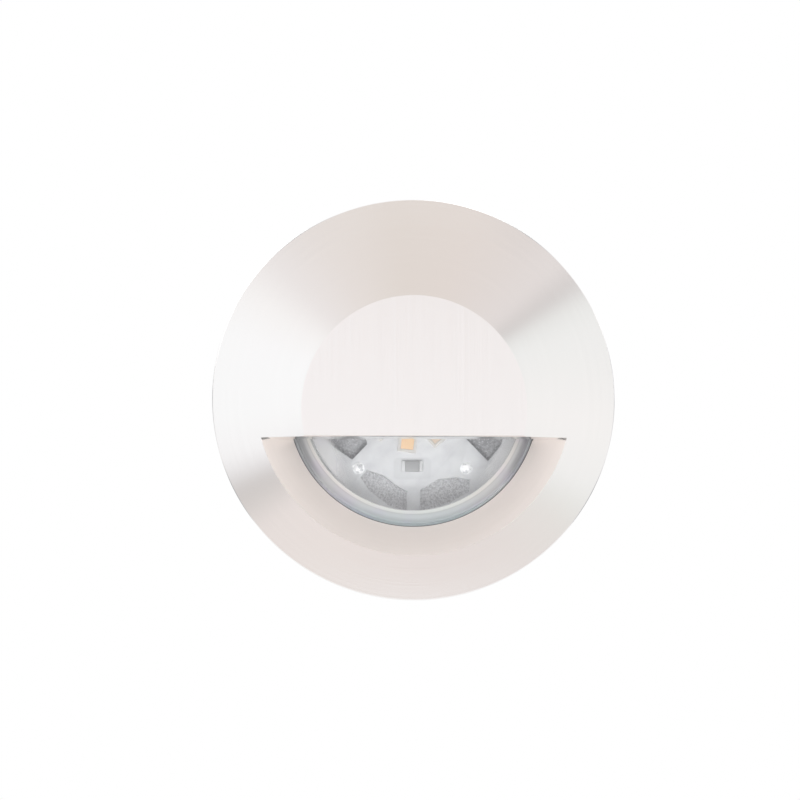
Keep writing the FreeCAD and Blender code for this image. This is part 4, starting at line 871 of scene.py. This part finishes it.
def tip_pieces(side, ribs, material):
    """Rubber tip of a clip's arm: a rounded block with a row of grip ribs on its outer face."""
    sign = 1 if side == "right" else -1
    along = Vector((-math.sin(ARM_SPLAY), math.cos(ARM_SPLAY), 0))
    out = Vector((math.cos(ARM_SPLAY), math.sin(ARM_SPLAY), 0))
    top = high("right_clip_tip")
    far = Vector((top.x, low("right_clip_tip").y + TIP_THICK * math.sin(ARM_SPLAY), 0))
    outline = [far - out * TIP_THICK, far - out * TIP_RIB, far - out * TIP_RIB + along * TIP_LONG,
               far - out * TIP_THICK + along * TIP_LONG]
    block = pushed(f"{side}_tip_block", [(sign * spot.x, spot.y) for spot in outline],
                   low("right_clip_tip").z, top.z, material, "z")
    fitted(eased(block, TIP_ROUND, steps=4), f"{side}_clip_tip", f"{side}_clip")
    start = far - out * (TIP_RIB + RIB_SINK) + along * RIB_MARGIN
    step = along * ((TIP_LONG - 2 * RIB_MARGIN) / (RIB_COUNT - 1))
    flip = Vector((sign, 1, 1)) * MM
    grip = run_tree(f"{side}_tip_ribs", ribs, [], Count=RIB_COUNT, Start=start * flip,
                    Step=step * flip, Length=(top.z * 2 - 2 * RIB_END) * MM,
                    Thickness=(TIP_RIB + RIB_SPARE) * MM, Material=material)
    fitted(smooth(grip), f"{side}_clip_tip", f"{side}_clip", stands_for=False)


# ---------------------------------------------------------------- clip springs


def spring_path(side):
    """The wire of a torsion spring on its pin: arm leg, turns and fixed leg, as points."""
    pin = (low("right_clip_pin") + high("right_clip_pin")) / 2
    first, last = ARM_SPLAY, math.pi + 2 * math.pi * SPRING_TURNS
    coil = high("right_clip_spring").z - low("right_clip_spring").z - SPRING_WIRE
    steps, arm_steps, fixed_steps = 160, 8, 5
    turns = []
    for i in range(steps + 1):
        angle = first + (last - first) * i / steps
        rise = coil * (i / steps - 0.5)
        turns.append(Vector((SPRING_RADIUS * math.cos(angle), SPRING_RADIUS * math.sin(angle), rise)))
    leave = Vector((-math.sin(first), math.cos(first), 0))
    arrive = Vector((-math.sin(last), math.cos(last), 0))
    route = [turns[0] - leave * (SPRING_LEG_ARM * (arm_steps - i) / arm_steps)
             for i in range(arm_steps)]
    route += turns
    route += [turns[-1] + arrive * (SPRING_LEG_FIXED * i / fixed_steps)
              for i in range(1, fixed_steps + 1)]
    placed = [Vector((pin.x, PIVOT_Y, 0)) + spot for spot in route]
    if side == "left":
        placed = [Vector((-spot.x, spot.y, -spot.z)) for spot in placed]
    return placed


def spring_piece(side, wires, material):
    """Torsion spring wire: one leg lies along the housing and the other along the arm, with the turns
    between.
    """
    spring = run_tree(f"{side}_torsion_spring", wires, spring_path(side),
                      Radius=SPRING_WIRE / 2 * MM, Sides=14, Material=material)
    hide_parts(f"{side}_clip_spring")
    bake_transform(spring)
    return spring


# ---------------------------------------------------------------- studio


STUDIO_DISTANCE = 750.0
CAMERA_DISTANCE = 500.0
CAMERA_DROP = math.radians(5.7)
CAMERA_YAW = math.radians(1.3)
FRAME_WIDTH = 119.17
FRAME_PIXELS = 800
RIM_PIXEL = (413.65, 398.73)  # where the rim's middle lies in the photograph


def make_camera():
    """Looks along +Y from slightly below the light's axis."""
    camera = add_object("camera", bpy.data.cameras.new("camera"))
    bpy.context.scene.camera = camera
    camera.data.lens = camera.data.sensor_width * CAMERA_DISTANCE / FRAME_WIDTH
    aim = Vector((0, RIM_FRONT, 0))
    turn = Matrix.Rotation(-CAMERA_YAW, 3, "Z") @ Matrix.Rotation(CAMERA_DROP, 3, "X")
    away = turn @ Vector((0, -1, 0))
    right = turn @ Vector((1, 0, 0))
    upwards = turn @ Vector((0, 0, 1))
    pixel = FRAME_WIDTH / FRAME_PIXELS
    aim -= right * ((RIM_PIXEL[0] - FRAME_PIXELS / 2) * pixel)
    aim += upwards * ((RIM_PIXEL[1] - FRAME_PIXELS / 2) * pixel)
    spot = Vector((0, RIM_FRONT, 0)) + away * CAMERA_DISTANCE
    camera.location = spot * MM
    camera.rotation_mode = "QUATERNION"
    camera.rotation_quaternion = (aim - spot).to_track_quat("-Z", "Y")
    camera.data.clip_start = 0.01


def seen_straight(recipe):
    """1 for a ray that comes from the camera, a gloss or the lens."""
    path = recipe.tree.nodes.new("ShaderNodeLightPath")
    camera, glossy, through = [Num(recipe, path.outputs[f"Is {label} Ray"])
                               for label in ("Camera", "Glossy", "Transmission")]
    return (camera + glossy + through).capped(0.0, 1.0)


def make_world():
    """Soft even light for the object, and plain white for what sees the world itself."""
    world = bpy.data.worlds.new("studio")
    bpy.context.scene.world = world
    world.use_nodes = True
    tree = world.node_tree
    tree.nodes.clear()
    path = tree.nodes.new("ShaderNodeLightPath")
    total = None
    for label in ("Is Camera Ray", "Is Glossy Ray", "Is Transmission Ray"):
        if total is None:
            total = path.outputs[label]
            continue
        plus = tree.nodes.new("ShaderNodeMath")
        plus.use_clamp = True
        tree.links.new(total, plus.inputs[0])
        tree.links.new(path.outputs[label], plus.inputs[1])
        total = plus.outputs[0]
    soft, plain = [tree.nodes.new("ShaderNodeBackground") for _ in range(2)]
    soft.inputs["Color"].default_value = (0.97, 0.985, 1.0, 1.0)
    soft.inputs["Strength"].default_value = 0.75
    plain.inputs["Color"].default_value = (1.0, 1.0, 1.0, 1.0)
    plain.inputs["Strength"].default_value = 1.0
    mixed = tree.nodes.new("ShaderNodeMixShader")
    tree.links.new(total, mixed.inputs[0])
    tree.links.new(soft.outputs[0], mixed.inputs[1])
    tree.links.new(plain.outputs[0], mixed.inputs[2])
    tree.links.new(mixed.outputs[0], tree.nodes.new("ShaderNodeOutputWorld").inputs["Surface"])


def screen_material():
    """Diffuser in front of the light: bright to the left and right, warm and dimmer above and below."""
    r = Recipe("studio_diffuser")
    stops = [
        (0.0, (1.02, 1.03, 1.04)), (0.03, (1.0, 1.0, 1.015)), (0.045, (0.85, 0.84, 0.85)),
        (0.06, (0.63, 0.60, 0.59)), (0.072, (0.69, 0.66, 0.645)), (0.1, (0.87, 0.81, 0.79)),
        (0.16, (0.87, 0.81, 0.785)), (0.28, (0.84, 0.775, 0.755)), (0.36, (0.835, 0.785, 0.765)),
        (0.41, (0.835, 0.815, 0.79)), (0.428, (0.86, 0.865, 0.845)), (0.45, (0.945, 0.95, 0.945)),
        (0.5, (0.985, 0.975, 0.97)), (0.58, (0.93, 0.94, 0.935)), (0.6, (0.87, 0.88, 0.87)),
        (0.612, (0.66, 0.63, 0.625)), (0.63, (0.82, 0.775, 0.765)), (0.7, (0.812, 0.748, 0.712)),
        (0.76, (0.804, 0.745, 0.704)), (0.82, (0.85, 0.80, 0.775)), (0.86, (0.89, 0.855, 0.85)),
        (0.89, (1.0, 0.99, 0.99)), (0.925, (1.03, 1.04, 1.055)), (1.0, (1.025, 1.04, 1.05))]
    glow = r.node("ShaderNodeEmission", None, {"Color": r.ramp(r.turn(), stops), "Strength": 1.0})
    return r.finish(glow)


def make_screen():
    """A flat ring in front of the object, past the camera and out of its sight."""
    inner, outer, segments = 60.0, 2600.0, 64
    corners, faces = [], []
    for i in range(segments):
        for radius in (inner, outer):
            corners.append(on_circle(radius, -STUDIO_DISTANCE, 2 * math.pi * i / segments))
    for i in range(segments):
        j = (i + 1) % segments
        faces.append([2 * i, 2 * i + 1, 2 * j + 1, 2 * j])
    screen = make_piece("studio_screen", corners, faces, screen_material())
    screen.visible_camera = False


def make_tunnel():
    """Curved cards round the light's axis, out of sight, that give metal its light and shade."""
    radius, front, back, segments = 1300.0, -740.0, 1700.0, 96
    r = Recipe("studio_cards")
    pale, mid, deep = (1.0, 1.0, 1.0), (0.74, 0.745, 0.755), (0.42, 0.425, 0.44)
    cards = r.ramp(r.turn(), [
        (0.0, mid), (0.03, pale), (0.06, deep), (0.10, mid), (0.40, mid), (0.44, deep),
        (0.47, pale), (0.5, mid), (0.54, deep), (0.58, pale), (0.63, pale), (0.66, deep),
        (0.70, pale), (0.80, pale), (0.84, deep), (0.87, pale), (0.93, pale), (0.97, deep),
        (1.0, mid)])
    rear = r.mix(cards, mid, r.step(r.spot[1], 500.0, 1500.0) * 0.5)
    corners = [on_circle(radius, station, 2 * math.pi * i / segments)
               for station in (front, back) for i in range(segments)]
    faces = [[i, (i + 1) % segments, segments + (i + 1) % segments, segments + i]
             for i in range(segments)]
    glow = r.node("ShaderNodeEmission", None, {"Color": rear, "Strength": 1.0})
    tunnel = make_piece("studio_tunnel", corners, faces, r.finish(glow))
    tunnel.visible_camera = False


def make_floor():
    """Pale floor, well below the light, that keeps its shadow and shows white."""
    half, level = 3000.0, -700.0
    r = Recipe("pale_floor")
    x, y, _ = r.spot
    grain = r.noise((x * 0.02, y * 0.02, 0.0))
    shade = r.mix((0.86, 0.855, 0.85), (0.83, 0.825, 0.82), grain)
    plain = r.surface(shade, Roughness=0.8)
    white = r.node("ShaderNodeEmission", None, {"Color": (1.0, 1.0, 1.0, 1.0), "Strength": 1.0})
    seen = seen_straight(r) * (0.9 + 0.1 * r.step((x * x + y * y).root(), 200.0, 900.0))
    corners = [(-half, -half, level), (half, -half, level), (half, half, level), (-half, half, level)]
    material = r.finish(r.node("ShaderNodeMixShader", None, {0: seen, 1: plain, 2: white}))
    floor = make_piece("floor", corners, [[0, 1, 2, 3]], material)


def make_lamp(name, spot, size, radiance, colour, mirrored=True):
    """Soft square lamp that faces the object and has the given brightness."""
    lamp = add_object(name, bpy.data.lights.new(name, "AREA"))
    lamp.data.shape = "SQUARE"
    lamp.data.size = size * MM
    lamp.data.energy = radiance * math.pi * (size * MM) ** 2
    lamp.data.color = colour
    lamp.location = Vector(spot) * MM
    lamp.rotation_mode = "QUATERNION"
    lamp.rotation_quaternion = (-Vector(spot)).to_track_quat("-Z", "Y")
    lamp.visible_glossy = mirrored


def make_lamps():
    make_lamp("lamp_low", (-15, -620, -360), 400, 6.1, (1.0, 1.0, 1.0), False)
    make_lamp("lamp_left", (-800, 60, 300), 360, 1.5, (1.0, 0.99, 0.975))
    make_lamp("lamp_right", (820, 120, 260), 360, 1.2, (0.98, 0.99, 1.0))
    make_lamp("lamp_back", (-420, 650, 520), 360, 2.0, (1.0, 1.0, 1.0))
    make_lamp("lamp_top", (250, 300, 800), 360, 1.6, (1.0, 0.99, 0.98))


# ---------------------------------------------------------------- finishes of the nodes that stay


def node_finishes():
    steel = bright_metal("stainless_screw", (0.72, 0.72, 0.73), 0.22)
    clip_steel = line_brushed_metal("clip_brushed_steel", (0.60, 0.61, 0.625), 0.3, 0.24, "z", 14.0)
    casting = cast_metal("housing_alloy", (0.64, 0.645, 0.655))
    gland = moulded("gland_plastic", (0.045, 0.046, 0.05), 0.5, 10.0, 0.02)
    seal = moulded("seal_rubber", (0.06, 0.06, 0.065), 0.7, 8.0, 0.02)
    return {
        "face_gasket": moulded("gasket_rubber", (0.045, 0.045, 0.05), 0.8, 6.0, 0.03),
        "lens_seal": lens_seal_material(),
        "led_board": board_material(),
        # painted light: the LED cases are given a faint warm glow
        "led_bodies": moulded("led_case", (0.83, 0.81, 0.775), 0.35, 10.0, 0.005, (1.0, 0.95, 0.88), 0.06),
        "led_phosphors": phosphor_material(),
        "chip_resistors": moulded("chip_ceramic", (0.51, 0.515, 0.52), 0.4, 8.0, 0.008),
        "resistor_ends": moulded("tinned_end", (0.84, 0.845, 0.85), 0.3, 6.0, 0.01),
        "board_screws": steel,
        "led_leads": moulded("lead_sleeve", (0.62, 0.06, 0.04), 0.35),
        "heat_spreader": spreader_material(),
        "housing": casting,
        "housing_seal": seal,
        "driver_board": driver_board_material(),
        "driver_standoffs": bright_metal("spacer_brass", (0.83, 0.62, 0.28), 0.25),
        "driver_screws": steel,
        "driver_capacitor": moulded("capacitor_sleeve", (0.05, 0.07, 0.2), 0.3, 6.0, 0.004, coat=0.4),
        "driver_inductor": moulded("ferrite", (0.10, 0.095, 0.095), 0.6, 9.0, 0.02),
        "driver_bridge": moulded("component_black", (0.035, 0.035, 0.037), 0.45, 12.0, 0.01),
        "driver_chip": moulded("chip_black", (0.03, 0.03, 0.032), 0.5, 12.0, 0.01),
        "driver_terminal": moulded("terminal_green", (0.06, 0.36, 0.18), 0.4),
        "rear_cap": casting,
        "rear_cap_seal": seal,
        "rear_cap_screws": steel,
        "gland_body": gland,
        "gland_washer": seal,
        "gland_seal": seal,
        "gland_nut": gland,
        "gland_locknut": gland,
        "clip_bracket": clip_steel,
        "clip_pin": steel,
        "clip_arm": clip_steel,
        "clip_screws": steel,
    }


# width of the eased corners of the nodes that have hard ones
EASED = {
    "face_gasket": 0.2,
    "led_board": 0.05, "led_bodies": 0.1, "chip_resistors": 0.07, "resistor_ends": 0.06,
    "board_screws": 0.08, "heat_spreader": 0.1,
    "housing": 0.18, "rear_cap": 0.3, "rear_cap_screws": 0.08,
    "driver_board": 0.06, "driver_standoffs": 0.1, "driver_screws": 0.08, "driver_capacitor": 0.3,
    "driver_inductor": 0.25, "driver_bridge": 0.15, "driver_chip": 0.12, "driver_terminal": 0.12,
    "gland_body": 0.2, "gland_locknut": 0.2, "gland_nut": 0.12,
    "clip_bracket": 0.1, "clip_pin": 0.1, "clip_arm": 0.08, "clip_screws": 0.08,
}


def dress_nodes():
    """Gives every node its finish. Hard edged ones are stood in for by copies with eased corners."""
    finishes = node_finishes()
    for name, node in list(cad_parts.items()):
        side = name.split("_")[0] if name.startswith(("right_clip", "left_clip")) else ""
        plain = name[len(side) + 1:] if side else name
        if plain not in finishes:
            continue
        for slot in node.material_slots:
            slot.material = finishes[plain]
        if plain in EASED:
            moving = plain == "clip_arm"
            piece = softened(name, EASED[plain])
            piece.data.materials.clear()
            piece.data.materials.append(finishes[plain])
            fitted(piece, name, f"{side}_clip" if moving else "light")


def main():
    make_camera()
    make_world()
    make_screen()
    make_tunnel()
    make_floor()
    make_lamps()
    bpy.context.scene.view_settings.view_transform = "Standard"
    dress_nodes()
    face_plate_piece()
    lens_piece()
    ring_piece()
    wires, ribs = wire_tree(), rib_tree()
    spring_steel = bright_metal("spring_wire", (0.66, 0.67, 0.68), 0.28, 5.0, 0.01)
    rubber = moulded("tip_rubber", (0.05, 0.05, 0.055), 0.65, 7.0, 0.02)
    solder = solder_with_painted_highlights()
    joints = [solder_piece(side, solder) for side in ("left", "right")]
    fitted(joints[0], "solder_joints")
    fitted(joints[1], "solder_joints", stands_for=False)
    winding_piece(wires)
    for side in ("right", "left"):
        spring_piece(side, wires, spring_steel)
        tip_pieces(side, ribs, rubber)


main()
